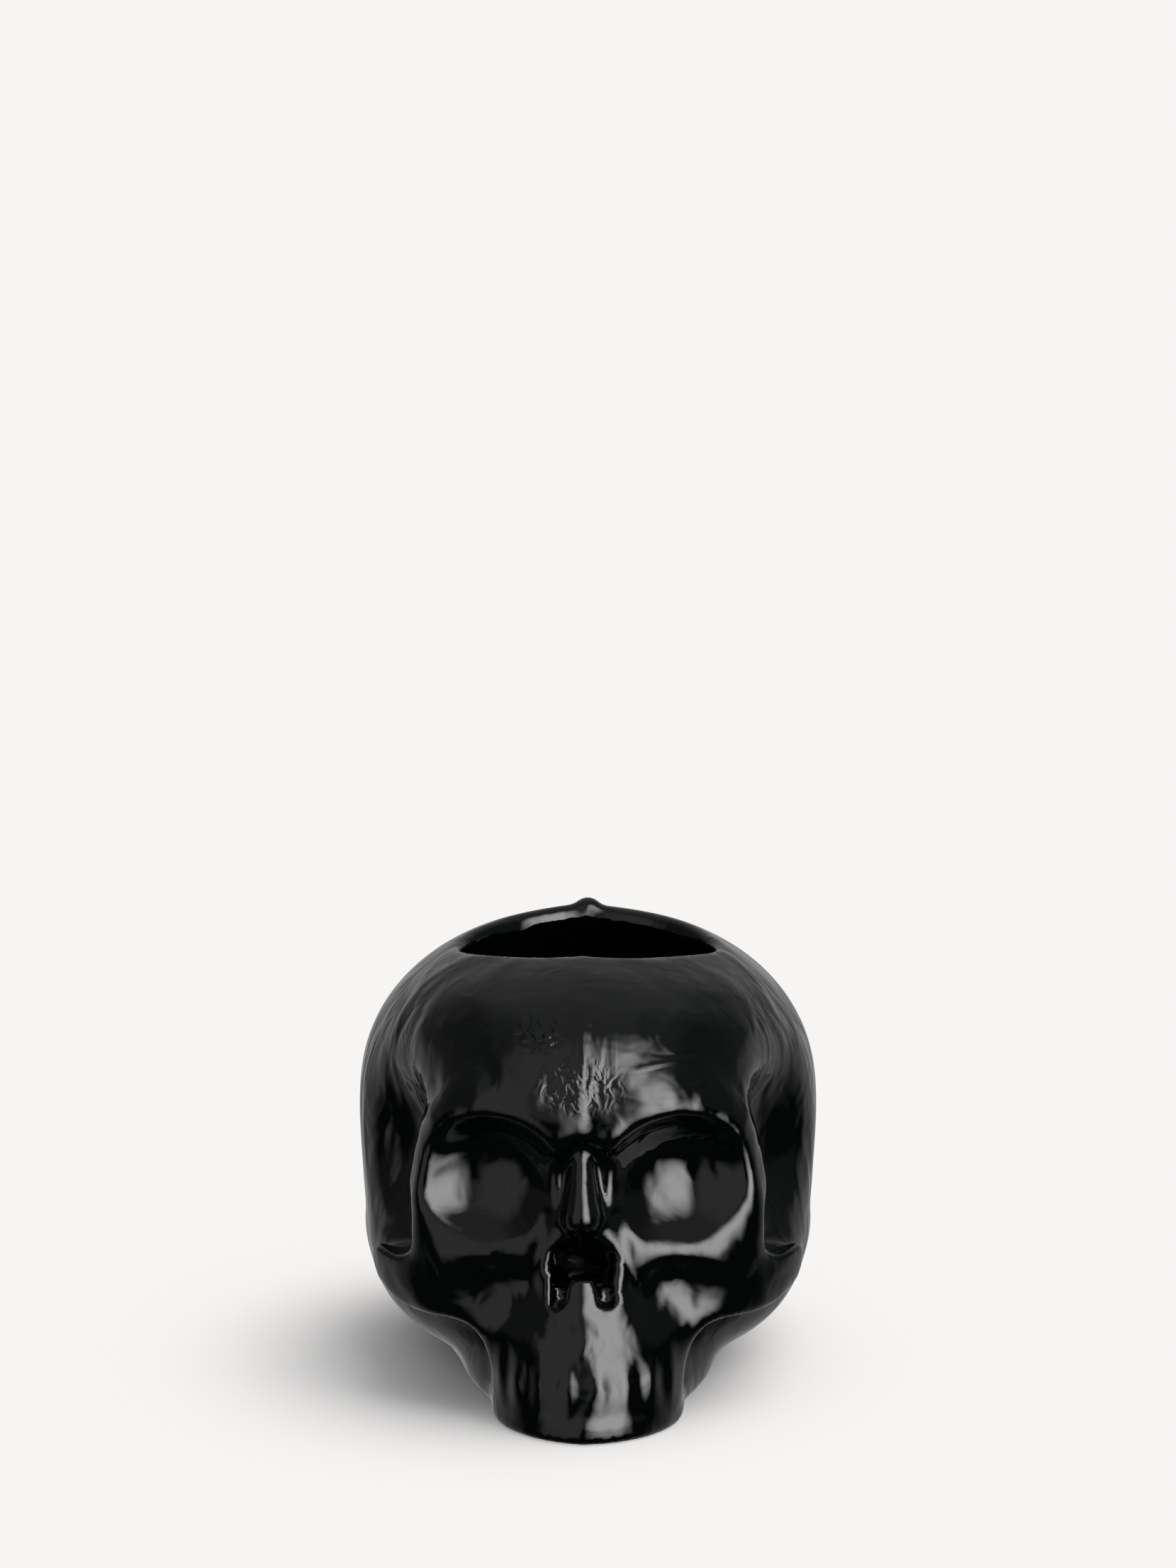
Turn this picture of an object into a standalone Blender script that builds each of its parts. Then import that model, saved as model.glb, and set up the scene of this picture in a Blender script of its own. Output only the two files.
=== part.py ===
"""Skull candle holder: one piece of pressed black glass, with a candle well open at the crown.

The skull has no lower jaw. It stands on a flat ground foot with a keyhole outline, the upper jaw
in front and the skull base behind. Its form is a blend of rounded masses (braincase, brow,
cheekbones, jaw), out of which the eye sockets, nose, temples and candle well are carved.

Frame: X to the right as seen from the front, Y towards the back of the head, Z up. The origin is
the middle of the length and the width, on the surface that the skull stands on.
"""

import bpy
import numpy as np
from mathutils import Vector

MM = 0.001

# Overall size
LENGTH = 115 * MM
WIDTH = 90 * MM
HEIGHT = 85 * MM

# Braincase: a dome over a fuller lower part
WIDEST_LEVEL = 50.5 * MM
BRAINCASE_LENGTH = 95 * MM
DOME_SQUARENESS = 2.12
LOWER_LEVEL = 28 * MM
LOWER_DEPTH = 29.6 * MM
LOWER_LENGTH = 88 * MM
LOWER_SQUARENESS = 2.6
LOWER_INSET = 1.2 * MM

# Forehead
FOREHEAD_SETBACK = 9.0 * MM
FOREHEAD_LEVEL = 56 * MM
FOREHEAD_WIDTH = 68 * MM
FOREHEAD_DEPTH = 35 * MM
FOREHEAD_RISE = 28.0 * MM
FOREHEAD_SQUARENESS = 3.0
FOREHEAD_ROUNDNESS = 2.15
BROW_THICKNESS = 13 * MM
BROW_HEIGHT = 60.4 * MM

# Face plate: a shield with this outline (out from the middle, up), cut from a rounded mass
FACE_OUTLINE = (
    (18.3, -6),
    (18.6, 2.6),
    (18.7, 8.3),
    (19.2, 12.0),
    (20.4, 15.6),
    (22.7, 18.2),
    (26.0, 19.2),
    (30.4, 19.2),
    (34.6, 19.6),
    (38.2, 21.0),
    (41.0, 23.8),
    (42.2, 27.0),
    (41.6, 29.8),
    (39.2, 31.0),
    (36.0, 30.8),
    (34.0, 32.6),
    (33.4, 36.6),
    (32.6, 41.6),
    (31.0, 47.6),
    (29.0, 53.4),
    (26.5, 60.0),
    (21.0, 66.0),
    (12.0, 70.0),
    (0.0, 71.0),
    (-6.0, 71.0),
)
FACE_EDGE = 2.0 * MM
FACE_TAPER = 0.35
FLARE_END_Y = -28 * MM
FLARE_TAPER = 0.55
FACE_WIDTH = 87 * MM
FACE_DEPTH = 33 * MM
FACE_LEVEL = 38 * MM
FACE_RISE = 44 * MM

# Eye sockets
SOCKET_SPACING = 33 * MM
SOCKET_LEVEL = 48.4 * MM
SOCKET_WIDTH = 27 * MM
SOCKET_HEIGHT = 22.4 * MM
SOCKET_DEPTH = 6.4 * MM
SOCKET_ROUND = 17 * MM
SOCKET_SQUARENESS = 2.1
SOCKET_EDGE = 2.4 * MM
SOCKET_TURN = 20.0
SOCKET_SET_BACK = 2.0 * MM
SILL_RADIUS = 5.2 * MM

# Nose
NOSE_BRIDGE_WIDTH = 2.8 * MM
NOSE_TIP_WIDTH = 6.4 * MM
NOSE_TIP_LEVEL = 42.0 * MM
NOSE_OPENING_WIDTH = 12.6 * MM
NOSE_OPENING_TOP = 42.4 * MM
NOSE_OPENING_BOTTOM = 26.4 * MM
NOSE_LOBE_RADIUS = 2.3 * MM
NOSE_OPENING_DEPTH = 8 * MM
NOSE_OPENING_SLOPE = 0.9
NOSE_BED_WIDTH = 11 * MM
NOSE_BED_DEPTH = 4 * MM
NOSE_BED_HEIGHT = 17 * MM

# Cheek arch and the outer rim of each socket
ARCH_WIDTH = 80 * MM
ARCH_LEVEL = 25.5 * MM
ARCH_THICKNESS = 6.4 * MM
ARCH_START_Y = -26 * MM

# Upper jaw
JAW_WIDTH = 37.8 * MM
JAW_LENGTH = 43 * MM
JAW_RISE = 44 * MM
JAW_LEVEL = -6 * MM
JAW_SQUARENESS = 2.2

# Throat, the mass between the jaw and the skull base
THROAT_CENTRE = (0, -14 * MM, 4 * MM)
THROAT_HALF = (24 * MM, 26 * MM, 14 * MM)

# Tooth row
TOOTH_LEVEL = 10.5 * MM
TOOTH_ROOT = 7.5 * MM
TOOTH_RELIEF = 0.5 * MM
TOOTH_ANGLE = 15.5
CHEEK_DIP_LEVEL = 27.2 * MM

# Temples, the hollows behind the outer rims of the sockets
TEMPLE_LENGTH = 30 * MM
TEMPLE_HEIGHT = 34 * MM
TEMPLE_BITE = 14 * MM
TEMPLE_INNER_WIDTH = 57 * MM
TEMPLE_EDGE = 8 * MM

# Foot
FOOT_HEIGHT = 3 * MM
FOOT_EDGE = 1.6 * MM
FRONT_FOOT_WIDTH = 34.6 * MM
REAR_FOOT_WIDTH = 56 * MM
REAR_FOOT_LENGTH = 60 * MM
REAR_FOOT_START_Y = 0 * MM

# Candle well
WELL_WIDTH = 49 * MM
WELL_LENGTH = 45 * MM
WELL_CENTRE_Y = 2.5 * MM
WELL_FLOOR = 22 * MM
WELL_TAPER = 2 * MM
WELL_FLOOR_CORNER = 3 * MM
LIP_LEVEL = 84.2 * MM
LIP_EDGE = 3.0 * MM
LIP_BUTTON_RADIUS = 2.4 * MM
LIP_BUTTON_RISE = 0.8 * MM

# Parting line of the mould, a low keel down the face, a little to the left of the middle
SEAM_X = -1.1 * MM
KEEL_HEIGHT = 0.8 * MM
KEEL_REACH = 15 * MM

# Mesh
ROUGH_VOXEL = 2.0 * MM
VOXEL = 1.2 * MM
TRIANGLES = 9600
GLASS = (0.004, 0.007, 0.008, 1.0)

FRONT_Y = -LENGTH / 2
BACK_Y = LENGTH / 2
BRAINCASE_Y = BACK_Y - BRAINCASE_LENGTH / 2
FOREHEAD_Y = FRONT_Y + FOREHEAD_SETBACK


def swollen_box(points, centre, half, squareness=2.0):
    """Rough distance outside a box swollen into an ellipsoid (squareness 2) or a boxier form."""
    share = [np.abs(p - c) / h for p, c, h in zip(points, centre, half)]
    total = sum(s**squareness for s in share) + 1e-12
    reach = total ** (1 / squareness)
    slope = [s ** (squareness - 1) / h for s, h in zip(share, half)]
    steepness = reach ** (1 - squareness) * np.sqrt(sum(s * s for s in slope)) + 1e-9
    return (reach - 1) / steepness


def crowned_box(points, centre, half, plan, rise):
    """Rough distance outside a swollen box, rounder or squarer from above than in its rise."""
    share = [np.abs(p - c) / h for p, c, h in zip(points, centre, half)]
    flat = (share[0] ** plan + share[1] ** plan + 1e-12) ** (1 / plan)
    reach = (flat**rise + share[2] ** rise + 1e-12) ** (1 / rise)
    steep = (flat / reach) ** (rise - 1) * flat ** (1 - plan)
    slope = [
        steep * share[0] ** (plan - 1) / half[0],
        steep * share[1] ** (plan - 1) / half[1],
        (share[2] / reach) ** (rise - 1) / half[2],
    ]
    return (reach - 1) / (np.sqrt(sum(s * s for s in slope)) + 1e-9)


def rod(points, start, end, start_radius, end_radius):
    """Distance outside a round rod between two points, which may taper."""
    axis = np.subtract(end, start)
    offset = [p - s for p, s in zip(points, start)]
    along = sum(o * a for o, a in zip(offset, axis)) / float(axis @ axis)
    along = np.clip(along, 0.0, 1.0)
    gap = np.sqrt(sum((o - a * along) ** 2 for o, a in zip(offset, axis)))
    return gap - (start_radius + (end_radius - start_radius) * along)


def chain(points, stops):
    """Distance outside a rod on a smooth line through the stops, each with a radius of its own."""
    line = smooth_line(stops, 2)
    return np.min([rod(points, a[:3], b[:3], a[3], b[3]) for a, b in zip(line, line[1:])], axis=0)


def join(a, b, softness):
    """Two forms as one, with a soft crease whose curve starts and ends gently."""
    reach = 1.5 * softness
    overlap = np.clip(reach - np.abs(a - b), 0.0, None) / reach
    return np.minimum(a, b) - overlap**3 * reach / 6


def carve(form, tool, softness):
    """A form with the tool's shape taken out of it, with a soft edge."""
    return -join(-form, tool, softness)


def turned(points, centre, degrees):
    """The points seen from a centre, in a frame turned outwards about the upright axis."""
    turn = np.radians(degrees)
    out, back, up = (p - c for p, c in zip(points, centre))
    across = out * np.cos(turn) + back * np.sin(turn)
    along = back * np.cos(turn) - out * np.sin(turn)
    return across, along, up


def smooth_line(stops, steps):
    """The stops with extra ones between, on a smooth curve through them all."""
    stops = np.array(stops, dtype=float)
    padded = np.vstack((2 * stops[0] - stops[1], stops, 2 * stops[-1] - stops[-2]))
    line = []
    for a, b, c, d in zip(padded, padded[1:], padded[2:], padded[3:]):
        for t in np.arange(steps) / steps:
            bend = (2 * a - 5 * b + 4 * c - d) * t * t + (3 * (b - c) + d - a) * t**3
            line.append(b + 0.5 * ((c - a) * t + bend))
    line.append(stops[-1])
    return np.array(line)


def plate_outline(out, up):
    """Distance outside the face's outline in the front view, negative within it."""
    line = smooth_line(FACE_OUTLINE, 3) * MM
    nearest = np.full(out.shape, 1.0)
    inside = np.zeros(out.shape, dtype=bool)
    for (x0, z0), (x1, z1) in zip(line, line[1:]):
        dx, dz = x1 - x0, z1 - z0
        along = np.clip(((out - x0) * dx + (up - z0) * dz) / (dx * dx + dz * dz), 0.0, 1.0)
        gap = (out - x0 - along * dx) ** 2 + (up - z0 - along * dz) ** 2
        nearest = np.minimum(nearest, gap)
        if z0 != z1:
            crosses = (z0 <= up) != (z1 <= up)
            inside ^= crosses & (out < x0 + (up - z0) * dx / dz)
    return np.where(inside, -1.0, 1.0) * np.sqrt(nearest)


def braincase(points):
    """The dome and the fuller part below it, down to the skull base."""
    centre = (0, BRAINCASE_Y, WIDEST_LEVEL)
    half = (WIDTH / 2, BRAINCASE_LENGTH / 2, HEIGHT - WIDEST_LEVEL)
    dome = swollen_box(points, centre, half, DOME_SQUARENESS)
    centre = (0, BRAINCASE_Y, LOWER_LEVEL)
    half = (WIDTH / 2 - LOWER_INSET, LOWER_LENGTH / 2, LOWER_DEPTH)
    lower = swollen_box(points, centre, half, LOWER_SQUARENESS)
    return join(dome, lower, 8 * MM)


def forehead(points):
    """The frontal bone, from the brow up to the crown."""
    centre = (0, FOREHEAD_Y + FOREHEAD_DEPTH, FOREHEAD_LEVEL)
    half = (FOREHEAD_WIDTH / 2, FOREHEAD_DEPTH, FOREHEAD_RISE)
    return crowned_box(points, centre, half, FOREHEAD_ROUNDNESS, FOREHEAD_SQUARENESS)


def upper_jaw(points):
    """The jaw with its tooth row, standing on the foot."""
    centre = (0, FRONT_Y + JAW_LENGTH / 2, JAW_LEVEL)
    half = (JAW_WIDTH / 2, JAW_LENGTH / 2, JAW_RISE)
    return swollen_box(points, centre, half, JAW_SQUARENESS)


def face(points):
    """The face plate, from the brow to the foot and out to the flared ends of the cheekbones."""
    out, back, up = points
    centre = (0, FOREHEAD_Y + FACE_DEPTH - 0.5 * MM, FACE_LEVEL)
    half = (FACE_WIDTH / 2, FACE_DEPTH, FACE_RISE)
    mass = join(swollen_box(points, centre, half, 2.4), upper_jaw(points), 9 * MM)
    inset = FACE_TAPER * np.clip(-mass, 0.0, None)
    inset = inset + FLARE_TAPER * np.clip(back - FLARE_END_Y, 0.0, None)
    return -join(-mass, -(plate_outline(out, up) + inset), FACE_EDGE)


def brow_stops():
    """Places and radii of the ridge over the right socket, from the middle outwards."""
    radius = BROW_THICKNESS / 2
    front = FOREHEAD_Y + radius - 0.8 * MM
    return (
        (1.6 * MM, front + 1.6 * MM, BROW_HEIGHT - 3.6 * MM, radius - 1.5 * MM),
        (7.0 * MM, front + 0.4 * MM, BROW_HEIGHT - 1.0 * MM, radius),
        (14.0 * MM, front + 0.4 * MM, BROW_HEIGHT + 0.4 * MM, radius),
        (21.0 * MM, front + 2.8 * MM, BROW_HEIGHT - 1.4 * MM, radius - 0.8 * MM),
        (26.4 * MM, front + 6.0 * MM, BROW_HEIGHT - 7.0 * MM, radius - 2.3 * MM),
        (28.4 * MM, front + 7.6 * MM, BROW_HEIGHT - 15.0 * MM, radius - 2.7 * MM),
    )


def sill_stops():
    """Places and radii of the lower edge of the right socket, from the nose outwards."""
    level = SOCKET_LEVEL - SOCKET_HEIGHT / 2 - 4.6 * MM
    back = FOREHEAD_Y + SILL_RADIUS
    return (
        (13.0 * MM, back + 1.2 * MM, level + 0.6 * MM, SILL_RADIUS - 1.6 * MM),
        (17.5 * MM, back + 0.6 * MM, level, SILL_RADIUS),
        (25.5 * MM, back + 5.0 * MM, level + 1.0 * MM, SILL_RADIUS),
        (28.4 * MM, back + 7.4 * MM, level + 8.4 * MM, SILL_RADIUS - 1.4 * MM),
    )


def arch_stops():
    """The line of the bar from the flared end of the right cheekbone back along the braincase."""
    radius = ARCH_THICKNESS / 2
    return (
        (ARCH_WIDTH / 2 - radius - 2 * MM, ARCH_START_Y, ARCH_LEVEL),
        (WIDTH / 2 - LOWER_INSET - radius - 1 * MM, BRAINCASE_Y, ARCH_LEVEL - 2 * MM),
    )


def nose_ridge_stops():
    """The two ends of the ridge between the sockets: where it leaves the brow, and its tip."""
    bridge = (0, FOREHEAD_Y + 2.6 * MM, SOCKET_LEVEL + 7 * MM)
    return bridge, (0, FOREHEAD_Y - 1.0 * MM, NOSE_TIP_LEVEL)


def nose_recess_stops():
    """The top and the bottom of the right lobe of the recess below the nose's ridge."""
    lobe = NOSE_LOBE_RADIUS
    out = NOSE_OPENING_WIDTH / 2 - lobe
    top = (out - 0.4 * MM, FOREHEAD_Y - 4.0 * MM, NOSE_OPENING_TOP - 8.0 * MM)
    bottom = (out, FOREHEAD_Y - 6.0 * MM, NOSE_OPENING_BOTTOM + lobe)
    return top, bottom


def nose_recess_top():
    """The middle and the half sizes of the broad upper part of the recess."""
    centre = (0, FOREHEAD_Y - 2.0 * MM, NOSE_OPENING_TOP - 5.0 * MM)
    return centre, (NOSE_OPENING_WIDTH / 2, NOSE_OPENING_DEPTH, 5.0 * MM)


def nose(points):
    """The ridge of the nasal bones down to their tip."""
    return rod(points, *nose_ridge_stops(), NOSE_BRIDGE_WIDTH / 2, NOSE_TIP_WIDTH / 2)


def teeth(points):
    """How far the roots of the teeth stand out of the jaw, each one a soft upright ridge."""
    out, back, up = points
    angle = np.arctan2(out, (FRONT_Y + JAW_LENGTH / 2) - back)
    wave = 0.5 - 0.5 * np.cos(2 * np.pi * angle / np.radians(TOOTH_ANGLE))
    level = np.clip(1 - np.abs(up - TOOTH_LEVEL) / TOOTH_ROOT, 0.0, 1.0)
    front = np.clip((np.radians(62) - angle) / np.radians(10), 0.0, 1.0)
    ahead = back < FRONT_Y + JAW_LENGTH / 2
    return TOOTH_RELIEF * wave * level * level * (3 - 2 * level) * front * ahead


def socket_reach():
    """How far the ball that presses a socket stays in front of it, and the ball's half sizes."""
    ahead = SOCKET_ROUND - SOCKET_DEPTH
    share = np.sqrt(1 - (ahead / SOCKET_ROUND) ** 2)
    return ahead, (SOCKET_WIDTH / 2 / share, SOCKET_ROUND, SOCKET_HEIGHT / 2 / share)


def socket_tool(points):
    """The hollow of each eye socket: a shallow bowl turned a little outwards."""
    centre = (SOCKET_SPACING / 2, FOREHEAD_Y + SOCKET_SET_BACK, SOCKET_LEVEL)
    seen = turned(points, centre, SOCKET_TURN)
    ahead, half = socket_reach()
    return swollen_box(seen, (0, -ahead, 0), half, SOCKET_SQUARENESS)


def nose_bed():
    """The middle and the half sizes of the dip from which the ridge of the nose stands out."""
    centre = (0, FOREHEAD_Y - 2.5 * MM, NOSE_TIP_LEVEL + NOSE_BED_HEIGHT / 2 - 2 * MM)
    return centre, (NOSE_BED_WIDTH / 2, NOSE_BED_DEPTH + 2.5 * MM, NOSE_BED_HEIGHT / 2)


def nose_tool(points):
    """One half of the heart-shaped recess below the nasal bones, which slopes down inwards."""
    slope = NOSE_OPENING_SLOPE * (points[1] - (FOREHEAD_Y - 5.5 * MM))
    points = (points[0], points[1], points[2] + slope)
    top, bottom = nose_recess_stops()
    sides = rod(points, top, bottom, NOSE_LOBE_RADIUS + 0.3 * MM, NOSE_LOBE_RADIUS)
    return join(sides, swollen_box(points, *nose_recess_top(), 2.3), 1.2 * MM)


def cheek_tool(points):
    """The shallow dip in the cheek, below the sill of each socket."""
    centre = (18.5 * MM, FOREHEAD_Y - 4.0 * MM, CHEEK_DIP_LEVEL)
    return swollen_box(points, centre, (9 * MM, 7.4 * MM, 6.4 * MM), 2.0)


def temple_tool(points):
    """The hollow at each side of the head, behind the socket's outer rim."""
    centre = (TEMPLE_INNER_WIDTH / 2 + TEMPLE_BITE, FOREHEAD_Y + 24 * MM, SOCKET_LEVEL + 0.6 * MM)
    half = (TEMPLE_BITE, TEMPLE_LENGTH / 2, TEMPLE_HEIGHT / 2)
    return swollen_box(points, centre, half, 2.0)


def foot(points):
    """The straight band at the bottom, round the jaw and round the skull base."""
    above = points[2] - FOOT_HEIGHT
    jaw_centre = (0, FRONT_Y + JAW_LENGTH / 2, 0)
    jaw_half = (FRONT_FOOT_WIDTH / 2, JAW_LENGTH / 2, 1.0)
    jaw = swollen_box(points, jaw_centre, jaw_half, 1.95)
    rear_centre = (0, BRAINCASE_Y + 2 * MM, 0)
    rear_half = (REAR_FOOT_WIDTH / 2, REAR_FOOT_LENGTH / 2, 1.0)
    rear = swollen_box(points, rear_centre, rear_half, 2.1)
    flat = (points[0], points[1], 0 * points[2])
    wide = (0, REAR_FOOT_START_Y, 0)
    neck = rod(flat, (0, jaw_centre[1], 0), wide, FRONT_FOOT_WIDTH / 2, REAR_FOOT_WIDTH / 2)
    return np.maximum(join(np.minimum(jaw, rear), neck, 1.5 * MM), above)


def well(points):
    """The candle well: an oval pot that narrows a little towards its flat floor."""
    x, y, z = points
    drop = np.clip((HEIGHT - z) / (HEIGHT - WELL_FLOOR), 0.0, 1.2)
    half_width = WELL_WIDTH / 2 - WELL_TAPER * drop
    half_length = WELL_LENGTH / 2 - WELL_TAPER * drop
    ring = np.sqrt((x / half_width) ** 2 + ((y - WELL_CENTRE_Y) / half_length) ** 2)
    wall = (ring - 1) * half_length
    return -join(-wall, z - WELL_FLOOR, WELL_FLOOR_CORNER)


def outside(points):
    """Rough distance outside the skull as seen, before the well is pressed into it."""
    x, y, z = points
    half = (np.abs(x), y, z)
    form = join(braincase(half), forehead(half), 12 * MM)
    form = join(form, rod(half, *arch_stops(), ARCH_THICKNESS / 2, ARCH_THICKNESS / 2), 4 * MM)
    form = carve(form, temple_tool(half), TEMPLE_EDGE)
    form = join(form, face(half), 4 * MM)
    form = join(form, chain(half, brow_stops()), 6 * MM)
    form = join(form, chain(half, sill_stops()), 3 * MM)
    from_seam = (np.abs(x - SEAM_X), y, z)
    form = carve(form, socket_tool(from_seam), SOCKET_EDGE)
    form = carve(form, cheek_tool(half), 5 * MM)
    form = carve(form, swollen_box(from_seam, *nose_bed(), 2.0), 3 * MM)
    form = join(form, nose(from_seam), 1.4 * MM)
    form = carve(form, nose_tool(from_seam), 1.6 * MM) - teeth(from_seam)
    form = join(form, swollen_box(half, THROAT_CENTRE, THROAT_HALF, 2.2), 5 * MM)
    form = join(form, foot(half), 2 * MM)
    keel = np.clip(1 - from_seam[0] / KEEL_REACH, 0.0, 1.0)
    return form - KEEL_HEIGHT * keel * keel


def button(points):
    """A low round button on the lip, where the mould's parting line ends."""
    radius = LIP_BUTTON_RADIUS
    level = LIP_LEVEL + LIP_BUTTON_RISE - radius
    start = (0, WELL_CENTRE_Y + WELL_LENGTH / 2 + 1.4 * MM, level)
    end = (0, start[1] + 1.6 * MM, level - 0.2 * MM)
    return rod(points, start, end, radius, radius)


def glass(points):
    """Rough distance outside the glass: negative within it, zero on its surface."""
    form = join(outside(points), button(points), 1.6 * MM)
    form = carve(form, well(points), LIP_EDGE)
    return carve(form, points[2], FOOT_EDGE)


def ball(name, centre, half):
    """A sphere stretched to the given half sizes."""
    bpy.ops.mesh.primitive_uv_sphere_add(segments=48, ring_count=24, radius=1, location=centre)
    obj = bpy.context.object
    obj.name = name
    obj.scale = half
    return obj


def drum(name, centre, half_width, half_length, depth, taper=0.0):
    """An oval upright cylinder on the given centre, narrower at its foot where it has a taper."""
    bpy.ops.mesh.primitive_cone_add(
        vertices=64, radius1=half_width - taper, radius2=half_width, depth=depth, location=centre
    )
    obj = bpy.context.object
    obj.name = name
    obj.scale = (1, half_length / half_width, 1)
    return obj


def bar(name, start, end, start_radius, end_radius):
    """A round bar between two points, with a ball at each end."""
    pieces = []
    for stop, radius in ((start, start_radius), (end, end_radius)):
        bpy.ops.mesh.primitive_uv_sphere_add(
            segments=24, ring_count=12, radius=radius, location=stop
        )
        pieces.append(bpy.context.object)
    axis = Vector(end) - Vector(start)
    bpy.ops.mesh.primitive_cone_add(
        vertices=24,
        radius1=start_radius,
        radius2=end_radius,
        depth=axis.length,
        location=(Vector(start) + Vector(end)) / 2,
        rotation=axis.to_track_quat("Z", "Y").to_euler(),
    )
    pieces.append(bpy.context.object)
    return joined(name, pieces)


def joined(name, pieces):
    """The pieces as one object, with their places and sizes put into its mesh."""
    bpy.ops.object.select_all(action="DESELECT")
    for piece in pieces:
        piece.select_set(True)
    bpy.context.view_layer.objects.active = pieces[0]
    if len(pieces) > 1:
        bpy.ops.object.join()
    bpy.ops.object.transform_apply(location=True, rotation=True, scale=True)
    body = bpy.context.object
    body.name = name
    return body


def plate(name):
    """The face plate as a flat slab with the face's outline, as deep as the cheekbones reach."""
    half = smooth_line(FACE_OUTLINE, 3) * MM
    line = [(x, z) for x, z in half] + [(-x, z) for x, z in half[::-1] if x > 0]
    mesh = bpy.data.meshes.new(name)
    mesh.from_pydata([(x, FLARE_END_Y, z) for x, z in line], [], [range(len(line))])
    obj = bpy.data.objects.new(name, mesh)
    bpy.context.scene.collection.objects.link(obj)
    deep = obj.modifiers.new("depth", "SOLIDIFY")
    deep.thickness = FLARE_END_Y - FRONT_Y
    deep.offset = 1.0
    replace_mesh(obj, evaluated_mesh(obj))
    return obj


def bent_bar(name, stops, radius, side, middle=0.0):
    """Bars through the stops, on the given side of the middle: -1 for the left."""
    line = [(middle + side * x, y, z) for x, y, z in stops]
    return joined(name, [bar(name, a, b, radius, radius) for a, b in zip(line, line[1:])])


def rough_masses():
    """The masses that the skull is roughed out of, all overlapping."""
    dome_half = (WIDTH / 2, BRAINCASE_LENGTH / 2, HEIGHT - WIDEST_LEVEL)
    base_half = (WIDTH / 2 - LOWER_INSET, LOWER_LENGTH / 2, LOWER_DEPTH)
    front_half = (FOREHEAD_WIDTH / 2, FOREHEAD_DEPTH, FOREHEAD_RISE + 2.5 * MM)
    face_half = (FACE_WIDTH / 2, FACE_DEPTH, FACE_RISE)
    jaw_centre = (0, FRONT_Y + JAW_LENGTH / 2, JAW_LEVEL)
    jaw_half = (JAW_WIDTH / 2, JAW_LENGTH / 2, JAW_RISE)
    shell = joined(
        "shell",
        [
            ball("face", (0, FOREHEAD_Y + FACE_DEPTH, FACE_LEVEL), face_half),
            ball("jaw", jaw_centre, jaw_half),
        ],
    )
    remesh(shell, ROUGH_VOXEL)
    face_plate = plate("face_plate")
    apply_cutters(shell, [face_plate], "INTERSECT")
    masses = [
        ball("dome", (0, BRAINCASE_Y, WIDEST_LEVEL), dome_half),
        ball("base", (0, BRAINCASE_Y, LOWER_LEVEL), base_half),
        ball("front", (0, FOREHEAD_Y + FOREHEAD_DEPTH, FOREHEAD_LEVEL), front_half),
        shell,
    ]
    foot_top = FOOT_HEIGHT + 1 * MM
    jaw_y, rear_y = FRONT_Y + JAW_LENGTH / 2, BRAINCASE_Y
    front_half = (FRONT_FOOT_WIDTH / 2, JAW_LENGTH / 2)
    rear_half = (REAR_FOOT_WIDTH / 2, REAR_FOOT_LENGTH / 2)
    neck_y = (jaw_y + rear_y) / 2
    neck_half = ((FRONT_FOOT_WIDTH + REAR_FOOT_WIDTH) / 4 + 2.5 * MM, (rear_y - jaw_y) / 2)
    masses.append(drum("front_foot", (0, jaw_y, foot_top / 2), *front_half, foot_top))
    masses.append(drum("rear_foot", (0, rear_y, foot_top / 2), *rear_half, foot_top))
    masses.append(drum("neck", (0, neck_y, foot_top / 2), *neck_half, foot_top))
    masses.append(ball("throat", THROAT_CENTRE, THROAT_HALF))
    thickness = ARCH_THICKNESS / 2
    for side in (-1, 1):
        masses.append(bent_bar("arch", arch_stops(), thickness, side))
        masses.append(bent_bar("brow", [s[:3] for s in brow_stops()], BROW_THICKNESS / 2, side))
        masses.append(bent_bar("sill", [s[:3] for s in sill_stops()], SILL_RADIUS, side))
    return masses


def rough_hollows():
    """The hollows that are cut before the nose goes on: temples, sockets, cheeks and well."""
    depth = HEIGHT - WELL_FLOOR + 10 * MM
    centre = (0, WELL_CENTRE_Y, WELL_FLOOR + depth / 2)
    hollows = [drum("well", centre, WELL_WIDTH / 2, WELL_LENGTH / 2, depth, 2 * WELL_TAPER)]
    for side in (-1, 1):
        turn = np.radians(SOCKET_TURN)
        ahead, half = socket_reach()
        out = SEAM_X + side * (SOCKET_SPACING / 2 + ahead * np.sin(turn))
        back = FOREHEAD_Y + SOCKET_SET_BACK - ahead * np.cos(turn)
        socket = ball("socket", (out, back, SOCKET_LEVEL), half)
        socket.rotation_euler.z = side * turn
        hollows.append(socket)
    (_, back, level), half = nose_bed()
    hollows.append(ball("nose_bed", (SEAM_X, back, level), half))
    return hollows


def apply_cutters(body, cutters, operation):
    """Cuts the body with each cutter in turn, and removes the cutters."""
    for cutter in cutters:
        cut = body.modifiers.new(cutter.name, "BOOLEAN")
        cut.operation = operation
        cut.object = cutter
    replace_mesh(body, evaluated_mesh(body))
    for cutter in cutters:
        bpy.data.objects.remove(cutter)


def evaluated_mesh(obj):
    """The object's mesh as its modifiers leave it."""
    depsgraph = bpy.context.evaluated_depsgraph_get()
    return bpy.data.meshes.new_from_object(obj.evaluated_get(depsgraph), depsgraph=depsgraph)


def replace_mesh(obj, mesh):
    """Gives the object a new mesh in place of its old one and its modifiers."""
    obj.modifiers.clear()
    old = obj.data
    obj.data = mesh
    bpy.data.meshes.remove(old)


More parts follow.
